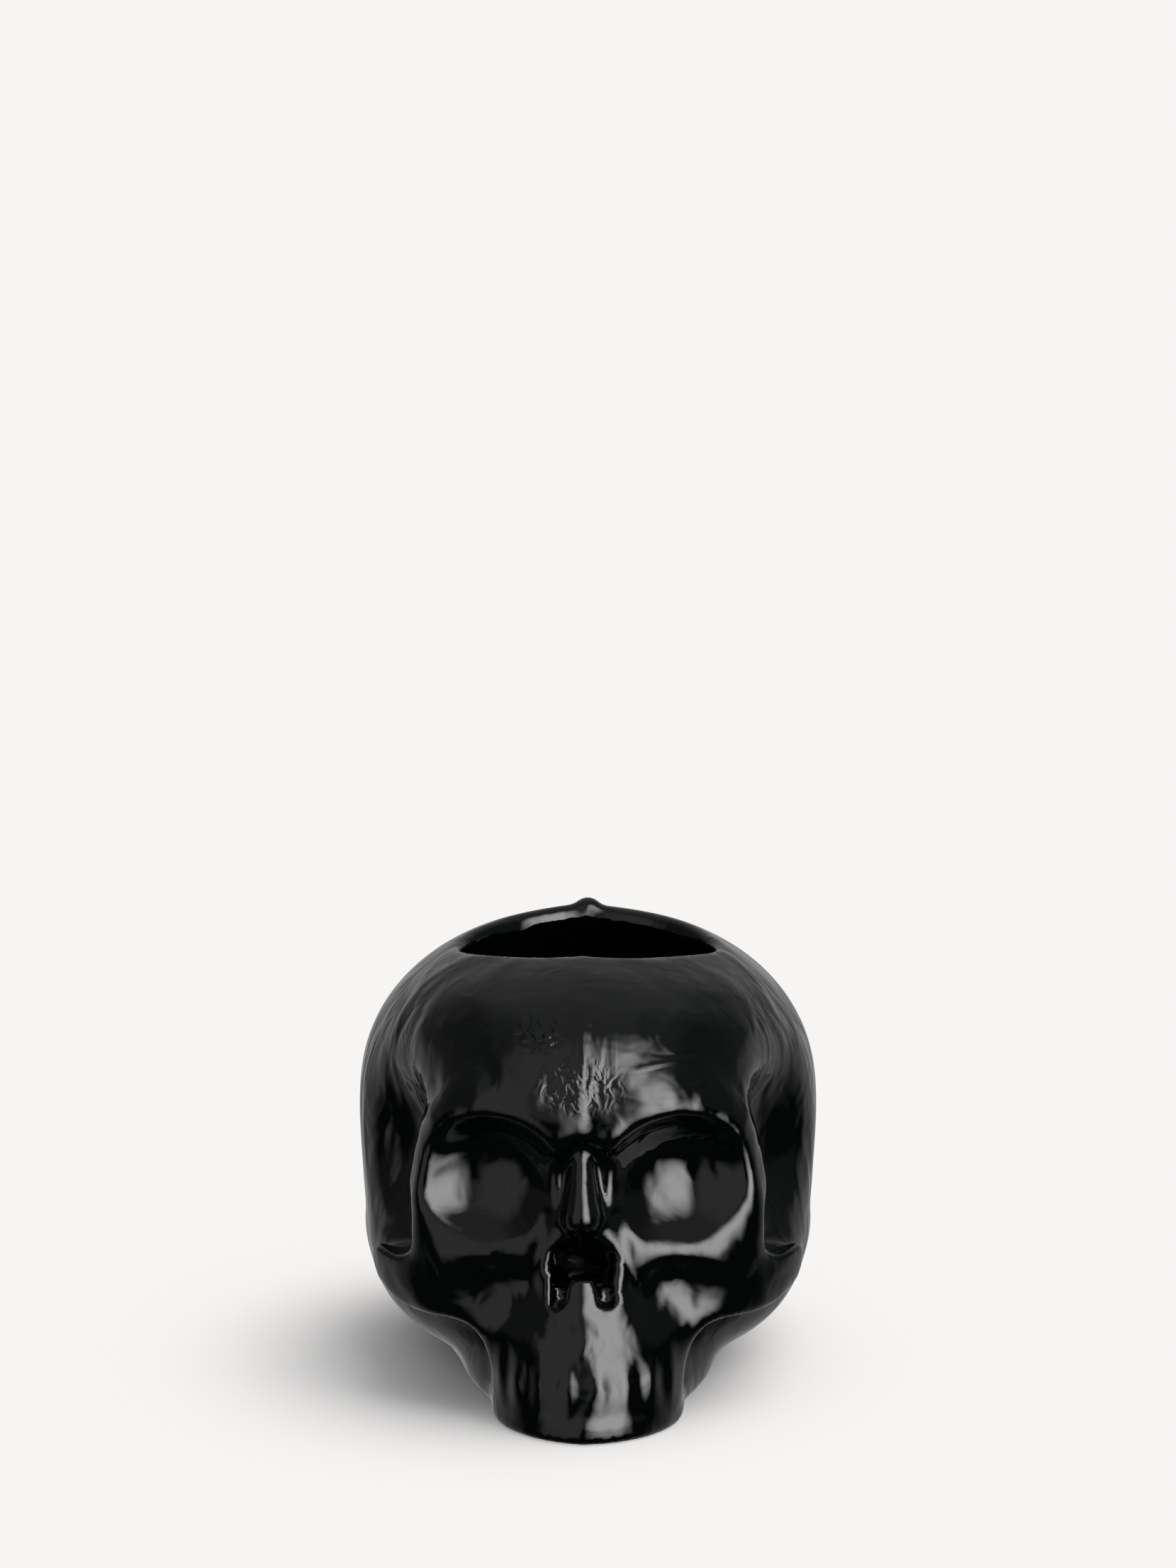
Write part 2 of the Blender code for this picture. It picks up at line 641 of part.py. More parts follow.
def remesh(obj, voxel):
    """Covers the object's surface with even four-sided faces of about that size."""
    cover = obj.modifiers.new("even_faces", "REMESH")
    cover.mode = "VOXEL"
    cover.voxel_size = voxel
    replace_mesh(obj, evaluated_mesh(obj))


def settle(obj, form, steps, reach):
    """Moves the object's points along the form's slope until they lie on its surface."""
    mesh = obj.data
    flat = np.empty(len(mesh.vertices) * 3)
    mesh.vertices.foreach_get("co", flat)
    points = list(flat.reshape(-1, 3).T)
    nudge = 0.02 * MM
    for _ in range(steps):
        here = form(points)
        slope = []
        for axis in range(3):
            ahead = [p + nudge * (i == axis) for i, p in enumerate(points)]
            behind = [p - nudge * (i == axis) for i, p in enumerate(points)]
            slope.append((form(ahead) - form(behind)) / (2 * nudge))
        steep = sum(s * s for s in slope) + 1e-6
        move = np.clip(here / np.sqrt(steep), -reach, reach) / np.sqrt(steep)
        points = [p - move * s for p, s in zip(points, slope)]
    mesh.vertices.foreach_set("co", np.stack(points, axis=1).ravel())
    mesh.update()


def fit(obj):
    """Brings the object to its exact overall size, with the origin under its middle."""
    mesh = obj.data
    flat = np.empty(len(mesh.vertices) * 3)
    mesh.vertices.foreach_get("co", flat)
    points = flat.reshape(-1, 3)
    least, most = points.min(axis=0), points.max(axis=0)
    size = np.array((WIDTH, LENGTH, HEIGHT))
    points = (points - least) * size / (most - least) - (WIDTH / 2, LENGTH / 2, 0)
    mesh.vertices.foreach_set("co", points.ravel())
    mesh.update()


def lean(obj, slope, start):
    """Lowers the object's points by a slope that begins at the given place along Y."""
    for vertex in obj.data.vertices:
        vertex.co.z -= slope * (vertex.co.y - start)


def rough_out(name):
    """The joined masses with the hollows cut out, then the nose set on and its recess cut."""
    body = joined(name, rough_masses())
    remesh(body, ROUGH_VOXEL)
    apply_cutters(body, rough_hollows(), "DIFFERENCE")
    ridge = [(SEAM_X + x, y, z) for x, y, z in nose_ridge_stops()]
    body = joined(name, [body, bar("ridge", *ridge, NOSE_BRIDGE_WIDTH / 2, NOSE_TIP_WIDTH / 2)])
    remesh(body, VOXEL)
    centre, half = nose_recess_top()
    recess = [joined("recess", [ball("recess", (SEAM_X, *centre[1:]), half)])]
    for side in (-1, 1):
        recess.append(bent_bar("lobe", nose_recess_stops(), NOSE_LOBE_RADIUS, side, SEAM_X))
    for piece in recess:
        remesh(piece, VOXEL)
        lean(piece, NOSE_OPENING_SLOPE, FOREHEAD_Y - 5.5 * MM)
    apply_cutters(body, recess, "DIFFERENCE")
    return body


def skull(name, voxel):
    """The skull as one closed body, with faces of about the voxel's size."""
    body = rough_out(name)
    for size, steps in ((VOXEL, 4), (VOXEL, 3), (voxel, 3)):
        remesh(body, size)
        settle(body, glass, steps, size)
    fit(body)
    return body


def glass_material():
    """Black glass, glossy all over."""
    material = bpy.data.materials.new("black_glass")
    material.use_nodes = True
    shader = material.node_tree.nodes["Principled BSDF"]
    shader.inputs["Base Color"].default_value = GLASS
    shader.inputs["Roughness"].default_value = 0.05
    shader.inputs["Metallic"].default_value = 0.0
    shader.inputs["IOR"].default_value = 1.52
    return material


def main():
    """Builds the skull as one object."""
    for obj in list(bpy.data.objects):
        bpy.data.objects.remove(obj)
    collection = bpy.data.collections.new("skull_candle_holder")
    bpy.context.scene.collection.children.link(collection)

    body = skull("skull_body", VOXEL)
    for linked in list(body.users_collection):
        linked.objects.unlink(body)
    collection.objects.link(body)
    body.data.name = "skull_body"
    body.data.materials.clear()
    body.data.materials.append(glass_material())
    body.data.shade_smooth()

    thin = body.modifiers.new("fewer_faces", "DECIMATE")
    thin.ratio = TRIANGLES / (2 * len(body.data.polygons))


if __name__ == "__main__":
    main()
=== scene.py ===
"""Skull candle holder in black glass, on a pale floor under soft studio light.

The glass is one closed surface. It starts from the plain model's own mesh, which is covered anew
with small even faces, and then moved onto the form below. That form is a blend of rounded masses
(braincase, brow, cheekbones, jaw), out of which the eye sockets, nose, temples and candle well are
carved. The tooth roots and the parting line are laid on it as low relief. The waves, streaks and
chill marks of the glass are in its finish.

Frame: X to the right as seen from the front, Y towards the back of the head, Z up.
"""

from __future__ import annotations

import logging
import math
from dataclasses import dataclass
from typing import Any, Callable, Mapping, Sequence

import bpy
import numpy as np
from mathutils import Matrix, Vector

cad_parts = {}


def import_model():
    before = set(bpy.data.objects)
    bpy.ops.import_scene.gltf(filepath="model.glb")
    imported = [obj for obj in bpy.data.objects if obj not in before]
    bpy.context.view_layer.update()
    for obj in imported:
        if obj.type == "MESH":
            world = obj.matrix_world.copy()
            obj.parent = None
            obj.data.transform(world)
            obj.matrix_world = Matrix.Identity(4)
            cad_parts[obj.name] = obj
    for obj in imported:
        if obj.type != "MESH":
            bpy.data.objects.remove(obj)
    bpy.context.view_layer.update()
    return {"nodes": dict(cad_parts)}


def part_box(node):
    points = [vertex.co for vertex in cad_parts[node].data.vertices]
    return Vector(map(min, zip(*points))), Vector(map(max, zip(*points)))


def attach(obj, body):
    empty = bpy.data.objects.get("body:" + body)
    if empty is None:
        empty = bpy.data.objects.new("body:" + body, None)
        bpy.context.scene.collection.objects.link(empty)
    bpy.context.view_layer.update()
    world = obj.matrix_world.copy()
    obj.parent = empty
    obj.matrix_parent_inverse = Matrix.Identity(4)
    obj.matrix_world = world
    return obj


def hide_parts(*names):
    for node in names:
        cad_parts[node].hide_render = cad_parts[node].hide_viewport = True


MM = 0.001
LOG = logging.getLogger("skull_candle_holder")

Points = Sequence[np.ndarray]
Stop = tuple[float, float, float]
WideStop = tuple[float, float, float, float]
Form = Callable[[Points], np.ndarray]
Feeds = Mapping[str | int, Any]


def swollen_box(points: Points, centre: Stop, half: Stop, squareness: float = 2.0) -> np.ndarray:
    """Rough distance outside a box swollen into an ellipsoid or a boxier form.

    Args:
        points: The x, y and z of the points to measure.
        centre: Middle of the box.
        half: Half of its size each way.
        squareness: 2 for an ellipsoid, more for a boxier form.

    Returns:
        One distance for each point, negative within.
    """
    share = [np.abs(p - c) / h for p, c, h in zip(points, centre, half)]
    total = sum(s**squareness for s in share) + 1e-12
    reach = total ** (1 / squareness)
    slope = [s ** (squareness - 1) / h for s, h in zip(share, half)]
    steepness = reach ** (1 - squareness) * np.sqrt(sum(s * s for s in slope)) + 1e-9
    return (reach - 1) / steepness


def crowned_box(points: Points, centre: Stop, half: Stop, plan: float, rise: float) -> np.ndarray:
    """Rough distance outside a swollen box whose outline from above has a squareness of its own.

    Args:
        points: The x, y and z of the points to measure.
        centre: Middle of the box.
        half: Half of its size each way.
        plan: Squareness seen from above, 2 for an ellipse.
        rise: Squareness seen from the side.

    Returns:
        One distance for each point, negative within.
    """
    share = [np.abs(p - c) / h for p, c, h in zip(points, centre, half)]
    flat = (share[0] ** plan + share[1] ** plan + 1e-12) ** (1 / plan)
    reach = (flat**rise + share[2] ** rise + 1e-12) ** (1 / rise)
    steep = (flat / reach) ** (rise - 1) * flat ** (1 - plan)
    slope = (
        steep * share[0] ** (plan - 1) / half[0],
        steep * share[1] ** (plan - 1) / half[1],
        (share[2] / reach) ** (rise - 1) / half[2],
    )
    return (reach - 1) / (np.sqrt(sum(s * s for s in slope)) + 1e-9)


def rod(points: Points, start: Stop, end: Stop, start_radius: float, end_radius: float) -> np.ndarray:
    """Distance outside a round rod between two points.

    Args:
        points: The x, y and z of the points to measure.
        start: Middle of one end.
        end: Middle of the other end.
        start_radius: Radius at the start.
        end_radius: Radius at the end.

    Returns:
        One distance for each point, negative within.
    """
    axis = np.subtract(end, start)
    offset = [p - s for p, s in zip(points, start)]
    along = sum(o * a for o, a in zip(offset, axis)) / float(axis @ axis)
    along = np.clip(along, 0.0, 1.0)
    gap = np.sqrt(sum((o - a * along) ** 2 for o, a in zip(offset, axis)))
    return gap - (start_radius + (end_radius - start_radius) * along)


def chain(points: Points, stops: Sequence[WideStop]) -> np.ndarray:
    """Distance outside a bent rod.

    Args:
        points: The x, y and z of the points to measure.
        stops: Places on the rod's middle, each with the radius there.

    Returns:
        One distance for each point, negative within.
    """
    line = smooth_line(stops, 2)
    return np.min([rod(points, a[:3], b[:3], a[3], b[3]) for a, b in zip(line, line[1:])], axis=0)


def join(a: np.ndarray, b: np.ndarray, softness: float) -> np.ndarray:
    """Two forms as one.

    Args:
        a: Distances outside one form.
        b: Distances outside the other.
        softness: How soft the crease between them is.

    Returns:
        Distances outside both together.
    """
    reach = 1.5 * softness
    overlap = np.clip(reach - np.abs(a - b), 0.0, None) / reach
    return np.minimum(a, b) - overlap**3 * reach / 6


def carve(form: np.ndarray, tool: np.ndarray, softness: float) -> np.ndarray:
    """A form with the tool's shape taken out of it, with an edge of the given softness."""
    return -join(-form, tool, softness)


def set_out(line: Sequence[WideStop], start: WideStop) -> list[WideStop]:
    """Stops of a bent rod, from millimetres counted from a starting place and radius."""
    return [tuple(s + step * MM for s, step in zip(start, stop)) for stop in line]


def turned(points: Points, centre: Stop, degrees: float) -> Points:
    """The points seen from a centre, in a frame turned outwards about the upright axis.

    Args:
        points: The x, y and z of the points.
        centre: The point that they are seen from.
        degrees: How far the frame is turned.

    Returns:
        How far each point lies across, along and up in the turned frame.
    """
    turn = math.radians(degrees)
    out, back, up = (p - c for p, c in zip(points, centre))
    across = out * math.cos(turn) + back * math.sin(turn)
    along = back * math.cos(turn) - out * math.sin(turn)
    return across, along, up


def smooth_line(stops: Sequence[Sequence[float]], steps: int) -> np.ndarray:
    """A smooth curve through the stops.

    Args:
        stops: Points that the curve passes through.
        steps: How many points it gets for each stop.

    Returns:
        The points of the curve, one to a row.
    """
    line = np.array(stops, dtype=float)
    padded = np.vstack((2 * line[0] - line[1], line, 2 * line[-1] - line[-2]))
    curve = []
    for a, b, c, d in zip(padded, padded[1:], padded[2:], padded[3:]):
        for t in np.arange(steps) / steps:
            bend = (2 * a - 5 * b + 4 * c - d) * t * t + (3 * (b - c) + d - a) * t**3
            curve.append(b + 0.5 * ((c - a) * t + bend))
    curve.append(line[-1])
    return np.array(curve)


def outline_distance(line: np.ndarray, out: np.ndarray, up: np.ndarray) -> np.ndarray:
    """Distance outside an outline in its plane.

    Args:
        line: The points of the outline's outer edge, from its foot to its top.
        out: How far each point lies out from the middle.
        up: How high each point lies.

    Returns:
        One distance for each point, negative within the outline.
    """
    nearest = np.full(out.shape, 1.0)
    inside = np.zeros(out.shape, dtype=bool)
    for (x0, z0), (x1, z1) in zip(line, line[1:]):
        dx, dz = x1 - x0, z1 - z0
        along = np.clip(((out - x0) * dx + (up - z0) * dz) / (dx * dx + dz * dz), 0.0, 1.0)
        gap = (out - x0 - along * dx) ** 2 + (up - z0 - along * dz) ** 2
        nearest = np.minimum(nearest, gap)
        if z0 != z1:
            crosses = (z0 <= up) != (z1 <= up)
            inside ^= crosses & (out < x0 + (up - z0) * dx / dz)
    return np.where(inside, -1.0, 1.0) * np.sqrt(nearest)


@dataclass(frozen=True)
class Overall:
    """The overall size of the skull, and the places that its parts are set out from."""

    length: float = 115 * MM
    width: float = 90 * MM
    height: float = 85 * MM
    forehead_setback: float = 9.0 * MM
    braincase_length: float = 95 * MM
    seam_x: float = -1.1 * MM

    @property
    def front(self) -> float:
        """How far forward the teeth reach."""
        return -self.length / 2

    @property
    def brow_front(self) -> float:
        """How far forward the forehead reaches."""
        return self.front + self.forehead_setback

    @property
    def middle(self) -> float:
        """Where the middle of the braincase lies."""
        return (self.length - self.braincase_length) / 2


@dataclass(frozen=True)
class Braincase:
    """The dome, the fuller part below it and the forehead, with a hollow at each temple."""

    overall: Overall = Overall()
    widest_level: float = 50.5 * MM
    dome_squareness: float = 2.12
    lower_level: float = 28 * MM
    lower_depth: float = 29.6 * MM
    lower_length: float = 88 * MM
    lower_squareness: float = 2.6
    lower_inset: float = 1.2 * MM
    lower_blend: float = 8 * MM
    forehead_level: float = 56 * MM
    forehead_width: float = 68 * MM
    forehead_depth: float = 35 * MM
    forehead_rise: float = 28.0 * MM
    forehead_squareness: float = 3.0
    forehead_roundness: float = 2.15
    temple_level: float = 47.8 * MM
    temple_back: float = 24 * MM
    temple_inner_width: float = 57 * MM
    temple_half: Stop = (14 * MM, 15 * MM, 17 * MM)

    def form(self, points: Points) -> np.ndarray:
        """Distance outside the dome and the part below it, for points out from the middle.

        Args:
            points: The x, y and z of the points to measure.

        Returns:
            One distance for each point, negative within.
        """
        size = self.overall
        centre = (0, size.middle, self.widest_level)
        half = (size.width / 2, size.braincase_length / 2, size.height - self.widest_level)
        dome = swollen_box(points, centre, half, self.dome_squareness)
        centre = (0, size.middle, self.lower_level)
        half = (size.width / 2 - self.lower_inset, self.lower_length / 2, self.lower_depth)
        lower = swollen_box(points, centre, half, self.lower_squareness)
        return join(dome, lower, self.lower_blend)

    def forehead(self, points: Points) -> np.ndarray:
        """Distance outside the frontal bone.

        Args:
            points: The x, y and z of the points to measure.

        Returns:
            One distance for each point, negative within.
        """
        centre = (0, self.overall.brow_front + self.forehead_depth, self.forehead_level)
        half = (self.forehead_width / 2, self.forehead_depth, self.forehead_rise)
        plan, rise = self.forehead_roundness, self.forehead_squareness
        return crowned_box(points, centre, half, plan, rise)

    def temple(self, points: Points) -> np.ndarray:
        """Distance outside the hollow behind the outer rim of the right socket.

        Args:
            points: The x, y and z of the points to measure.

        Returns:
            One distance for each point, negative within.
        """
        out = self.temple_inner_width / 2 + self.temple_half[0]
        centre = (out, self.overall.brow_front + self.temple_back, self.temple_level)
        return swollen_box(points, centre, self.temple_half)


@dataclass(frozen=True)
class Face:
    """The face plate with its cheekbones, the upper jaw, the brow and the cheek arches."""

    overall: Overall = Overall()
    outline: tuple[tuple[float, float], ...] = (
        (18.3, -6),
        (18.6, 2.6),
        (18.7, 8.3),
        (19.2, 12.0),
        (20.4, 15.6),
        (22.7, 18.2),
        (26.0, 19.2),
        (30.4, 19.2),
        (34.6, 19.6),
        (38.2, 21.0),
        (41.0, 23.8),
        (42.2, 27.0),
        (41.6, 29.8),
        (39.2, 31.0),
        (36.0, 30.8),
        (34.0, 32.6),
        (33.4, 36.6),
        (32.6, 41.6),
        (31.0, 47.6),
        (29.0, 53.4),
        (26.5, 60.0),
        (21.0, 66.0),
        (12.0, 70.0),
        (0.0, 71.0),
        (-6.0, 71.0),
    )
    edge: float = 2.0 * MM
    taper: float = 0.35
    flare_end: float = -28 * MM
    flare_taper: float = 0.55
    width: float = 87 * MM
    depth: float = 33 * MM
    stand_out: float = 0.5 * MM
    level: float = 38 * MM
    rise: float = 44 * MM
    squareness: float = 2.4
    jaw_width: float = 37.8 * MM
    jaw_length: float = 43 * MM
    jaw_rise: float = 44 * MM
    jaw_level: float = -6 * MM
    jaw_squareness: float = 2.2
    jaw_blend: float = 9 * MM
    brow_radius: float = 6.5 * MM
    brow_height: float = 60.4 * MM
    brow_stand_out: float = 0.4 * MM
    brow_line: tuple[WideStop, ...] = (
        (1.6, 1.6, -3.6, -1.5),
        (7.0, 0.4, -1.0, 0.0),
        (14.0, 0.4, 0.4, 0.0),
        (21.0, 2.8, -1.4, -0.8),
        (26.4, 6.0, -7.0, -2.3),
        (28.4, 7.6, -15.0, -2.7),
    )
    arch_radius: float = 3.2 * MM
    arch_width: float = 80 * MM
    arch_level: float = 25.5 * MM
    arch_start: float = -26 * MM
    arch_drop: float = 2 * MM
    arch_set_in: tuple[float, float] = (2 * MM, 1 * MM)
    dip_out: float = 18.5 * MM
    dip_ahead: float = 4.0 * MM
    dip_level: float = 27.2 * MM
    dip_half: Stop = (9 * MM, 7.4 * MM, 6.4 * MM)

    def jaw(self, points: Points) -> np.ndarray:
        """Distance outside the upper jaw.

        Args:
            points: The x, y and z of the points to measure.

        Returns:
            One distance for each point, negative within.
        """
        centre = (0, self.overall.front + self.jaw_length / 2, self.jaw_level)
        half = (self.jaw_width / 2, self.jaw_length / 2, self.jaw_rise)
        return swollen_box(points, centre, half, self.jaw_squareness)

    def form(self, points: Points) -> np.ndarray:
        """Distance outside the plate, which is its outline cut from a rounded mass.

        Args:
            points: The x, y and z of the points to measure.

        Returns:
            One distance for each point, negative within.
        """
        out, back, up = points
        centre = (0, self.overall.brow_front + self.depth - self.stand_out, self.level)
        half = (self.width / 2, self.depth, self.rise)
        mass = swollen_box(points, centre, half, self.squareness)
        mass = join(mass, self.jaw(points), self.jaw_blend)
        inset = self.taper * np.clip(-mass, 0.0, None)
        inset = inset + self.flare_taper * np.clip(back - self.flare_end, 0.0, None)
        line = smooth_line(self.outline, 3) * MM
        return -join(-mass, -(outline_distance(line, out, up) + inset), self.edge)

    def brow(self, points: Points) -> np.ndarray:
        """Distance outside the ridge over the right socket.

        Args:
            points: The x, y and z of the points to measure.

        Returns:
            One distance for each point, negative within.
        """
        radius = self.brow_radius
        front = self.overall.brow_front + radius - self.brow_stand_out
        start = (0, front, self.brow_height, radius)
        return chain(points, set_out(self.brow_line, start))

    def arch(self, points: Points, inset: float) -> np.ndarray:
        """Distance outside the bar from the right cheekbone back along the braincase.

        Args:
            points: The x, y and z of the points to measure.
            inset: How far the lower part of the braincase lies in from its widest.

        Returns:
            One distance for each point, negative within.
        """
        size, radius = self.overall, self.arch_radius
        front_set_in, back_set_in = self.arch_set_in
        out = self.arch_width / 2 - radius - front_set_in
        start = (out, self.arch_start, self.arch_level)
        out = size.width / 2 - inset - radius - back_set_in
        end = (out, size.middle, self.arch_level - self.arch_drop)
        return rod(points, start, end, radius, radius)

    def cheek_dip(self, points: Points) -> np.ndarray:
        """Distance outside the hollow below the sill of the right socket."""
        centre = (self.dip_out, self.overall.brow_front - self.dip_ahead, self.dip_level)
        return swollen_box(points, centre, self.dip_half)


@dataclass(frozen=True)
class EyeSocket:
    """The hollow of the right eye, with the sill below it."""

    overall: Overall = Overall()
    spacing: float = 33 * MM
    level: float = 48.4 * MM
    width: float = 27 * MM
    height: float = 22.4 * MM
    depth: float = 6.4 * MM
    ball: float = 17 * MM
    squareness: float = 2.1
    edge: float = 2.4 * MM
    turn: float = 20.0
    set_back: float = 2.0 * MM
    sill_radius: float = 5.2 * MM
    sill_drop: float = 4.6 * MM
    sill_line: tuple[WideStop, ...] = (
        (13.0, 1.2, 0.6, -1.6),
        (17.5, 0.6, 0.0, 0.0),
        (25.5, 5.0, 1.0, 0.0),
        (28.4, 7.4, 8.4, -1.4),
    )

    def form(self, points: Points) -> np.ndarray:
        """Distance outside the bowl, for points out from the seam.

        Args:
            points: The x, y and z of the points to measure.

        Returns:
            One distance for each point, negative within.
        """
        centre = (self.spacing / 2, self.overall.brow_front + self.set_back, self.level)
        seen = turned(points, centre, self.turn)
        ahead = self.ball - self.depth
        share = math.sqrt(1 - (ahead / self.ball) ** 2)
        half = (self.width / 2 / share, self.ball, self.height / 2 / share)
        return swollen_box(seen, (0, -ahead, 0), half, self.squareness)

    def sill(self, points: Points) -> np.ndarray:
        """Distance outside the lower edge of the socket.

        Args:
            points: The x, y and z of the points to measure.

        Returns:
            One distance for each point, negative within.
        """
        level = self.level - self.height / 2 - self.sill_drop
        back = self.overall.brow_front + self.sill_radius
        start = (0, back, level, self.sill_radius)
        return chain(points, set_out(self.sill_line, start))


@dataclass(frozen=True)
class Nose:
    """The nasal bones and the heart-shaped recess below them, for points out from the seam."""

    overall: Overall = Overall()
    socket: EyeSocket = EyeSocket()
    bridge_width: float = 1.6 * MM
    bridge_back: float = 2.6 * MM
    bridge_rise: float = 7 * MM
    tip_width: float = 6.4 * MM
    tip_level: float = 42.0 * MM
    tip_ahead: float = 1.0 * MM
    opening_width: float = 12.6 * MM
    opening_top: float = 42.4 * MM
    opening_bottom: float = 26.4 * MM
    lobe_radius: float = 1.9 * MM
    lobe_ahead: float = 4.4 * MM
    lobe_top: float = 8.0 * MM
    lobe_lean: float = 0.4 * MM
    lobe_swell: float = 0.3 * MM
    lobe_depth: float = 5.5 * MM
    lobe_blend: float = 1.2 * MM
    opening_ahead: float = 2.0 * MM
    opening_depth: float = 11 * MM
    opening_rise: float = 5.0 * MM
    opening_squareness: float = 2.3
    opening_slope: float = 0.9
    slope_start: float = 5.5 * MM
    bed_width: float = 11 * MM
    bed_depth: float = 4 * MM
    bed_height: float = 17 * MM
    bed_drop: float = 2 * MM
    bed_ahead: float = 2.5 * MM
    groove_width: float = 1.6 * MM
    groove_depth: float = 0.55 * MM
    groove_top: tuple[float, float] = (6.6 * MM, 1.0 * MM)
    groove_bottom: tuple[float, float] = (9.8 * MM, 2.0 * MM)
    groove_reach: float = 4 * MM

    def form(self, points: Points) -> np.ndarray:
        """Distance outside the ridge between the sockets.

        Args:
            points: The x, y and z of the points to measure.

        Returns:
            One distance for each point, negative within.
        """
        front, level = self.overall.brow_front, self.socket.level
        bridge = (0, front + self.bridge_back, level + self.bridge_rise)
        tip = (0, front - self.tip_ahead, self.tip_level)
        return rod(points, bridge, tip, self.bridge_width / 2, self.tip_width / 2)

    def recess(self, points: Points) -> np.ndarray:
        """Distance outside one half of the recess, which slopes down inwards.

        Args:
            points: The x, y and z of the points to measure.

        Returns:
            One distance for each point, negative within.
        """
        front, lobe = self.overall.brow_front, self.lobe_radius
        slope = self.opening_slope * (points[1] - (front - self.slope_start))
        points = (points[0], points[1], points[2] + slope)
        out = self.opening_width / 2 - lobe
        level = front - self.lobe_ahead
        top = (out - self.lobe_lean, level, self.opening_top - self.lobe_top)
        bottom = (out, level, self.opening_bottom + lobe)
        deep = (points[0], level + (points[1] - level) * lobe / self.lobe_depth, points[2])
        sides = rod(deep, top, bottom, lobe + self.lobe_swell, lobe)
        centre = (0, front - self.opening_ahead, self.opening_top - self.opening_rise)
        half = (self.opening_width / 2, self.opening_depth, self.opening_rise)
        upper = swollen_box(points, centre, half, self.opening_squareness)
        return join(sides, upper, self.lobe_blend)

    def bed(self, points: Points) -> np.ndarray:
        """Distance outside the dip from which the ridge stands out.

        Args:
            points: The x, y and z of the points to measure.

        Returns:
            One distance for each point, negative within.
        """
        level = self.tip_level + self.bed_height / 2 - self.bed_drop
        centre = (0, self.overall.brow_front - self.bed_ahead, level)
        half = (self.bed_width / 2, self.bed_depth + self.bed_ahead, self.bed_height / 2)
        return swollen_box(points, centre, half)

    def groove(self, points: Points) -> np.ndarray:
        """Depth of the groove from the socket's inner corner down past the nose.

        Args:
            points: The x, y and z of the points to measure.

        Returns:
            One depth for each point, the same all along a line of sight from ahead.
        """
        seen = (points[0], 0 * points[1], points[2])
        top = (self.groove_top[0], 0, self.opening_top - self.groove_top[1])
        bottom = (self.groove_bottom[0], 0, self.opening_bottom + self.groove_bottom[1])
        away = rod(seen, top, bottom, 0, 0) / self.groove_width
        ahead = points[1] < self.overall.brow_front + self.groove_reach
        return self.groove_depth * np.exp(-away * away) * ahead


@dataclass(frozen=True)
class Foot:
    """The straight band at the bottom, round the jaw and round the skull base."""

    overall: Overall = Overall()
    height: float = 3 * MM
    edge: float = 1.6 * MM
    front_width: float = 34.6 * MM
    front_length: float = 43 * MM
    rear_width: float = 56 * MM
    rear_length: float = 60 * MM
    rear_back: float = 2 * MM
    squareness: tuple[float, float] = (1.95, 2.1)
    neck_blend: float = 1.5 * MM

    def form(self, points: Points) -> np.ndarray:
        """Distance outside the band.

        Args:
            points: The x, y and z of the points to measure.

        Returns:
            One distance for each point, negative within.
        """
        size = self.overall
        jaw_y = size.front + self.front_length / 2
        jaw_half = (self.front_width / 2, self.front_length / 2, 1.0)
        jaw = swollen_box(points, (0, jaw_y, 0), jaw_half, self.squareness[0])
        rear_half = (self.rear_width / 2, self.rear_length / 2, 1.0)
        centre = (0, size.middle + self.rear_back, 0)
        rear = swollen_box(points, centre, rear_half, self.squareness[1])
        flat = (points[0], points[1], 0 * points[2])
        widths = (self.front_width / 2, self.rear_width / 2)
        neck = rod(flat, (0, jaw_y, 0), (0, 0, 0), *widths)
        band = join(np.minimum(jaw, rear), neck, self.neck_blend)
        return np.maximum(band, points[2] - self.height)


@dataclass(frozen=True)
class Throat:
    """The mass between the jaw and the skull base, low down behind the cheekbones."""

    centre: Stop = (0, -14 * MM, 4 * MM)
    half: Stop = (24 * MM, 26 * MM, 14 * MM)

    def form(self, points: Points) -> np.ndarray:
        """Distance outside the mass."""
        return swollen_box(points, self.centre, self.half, 2.2)


@dataclass(frozen=True)
class CandleWell:
    """The oval pot in the crown, with the button on its lip where the parting line ends."""

    overall: Overall = Overall()
    width: float = 49 * MM
    length: float = 45 * MM
    centre_y: float = 2.5 * MM
    floor: float = 22 * MM
    taper: float = 2 * MM
    floor_corner: float = 3 * MM
    lip_edge: float = 3.0 * MM
    lip_level: float = 84.2 * MM
    button_radius: float = 2.4 * MM
    button_rise: float = 0.8 * MM
    button_back: float = 1.4 * MM
    button_length: float = 1.6 * MM
    button_drop: float = 0.2 * MM

    def form(self, points: Points) -> np.ndarray:
        """Distance outside the space in the well.

        Args:
            points: The x, y and z of the points to measure.

        Returns:
            One distance for each point, negative within.
        """
        x, y, z = points
        drop = np.clip((self.overall.height - z) / (self.overall.height - self.floor), 0.0, 1.2)
        half_width = self.width / 2 - self.taper * drop
        half_length = self.length / 2 - self.taper * drop
        ring = np.sqrt((x / half_width) ** 2 + ((y - self.centre_y) / half_length) ** 2)
        return -join(-(ring - 1) * half_length, z - self.floor, self.floor_corner)

    def button(self, points: Points) -> np.ndarray:
        """Distance outside the button.

        Args:
            points: The x, y and z of the points to measure.

        Returns:
            One distance for each point, negative within.
        """
        radius = self.button_radius
        level = self.lip_level + self.button_rise - radius
        start = (0, self.centre_y + self.length / 2 + self.button_back, level)
        end = (0, start[1] + self.button_length, level - self.button_drop)
        return rod(points, start, end, radius, radius)


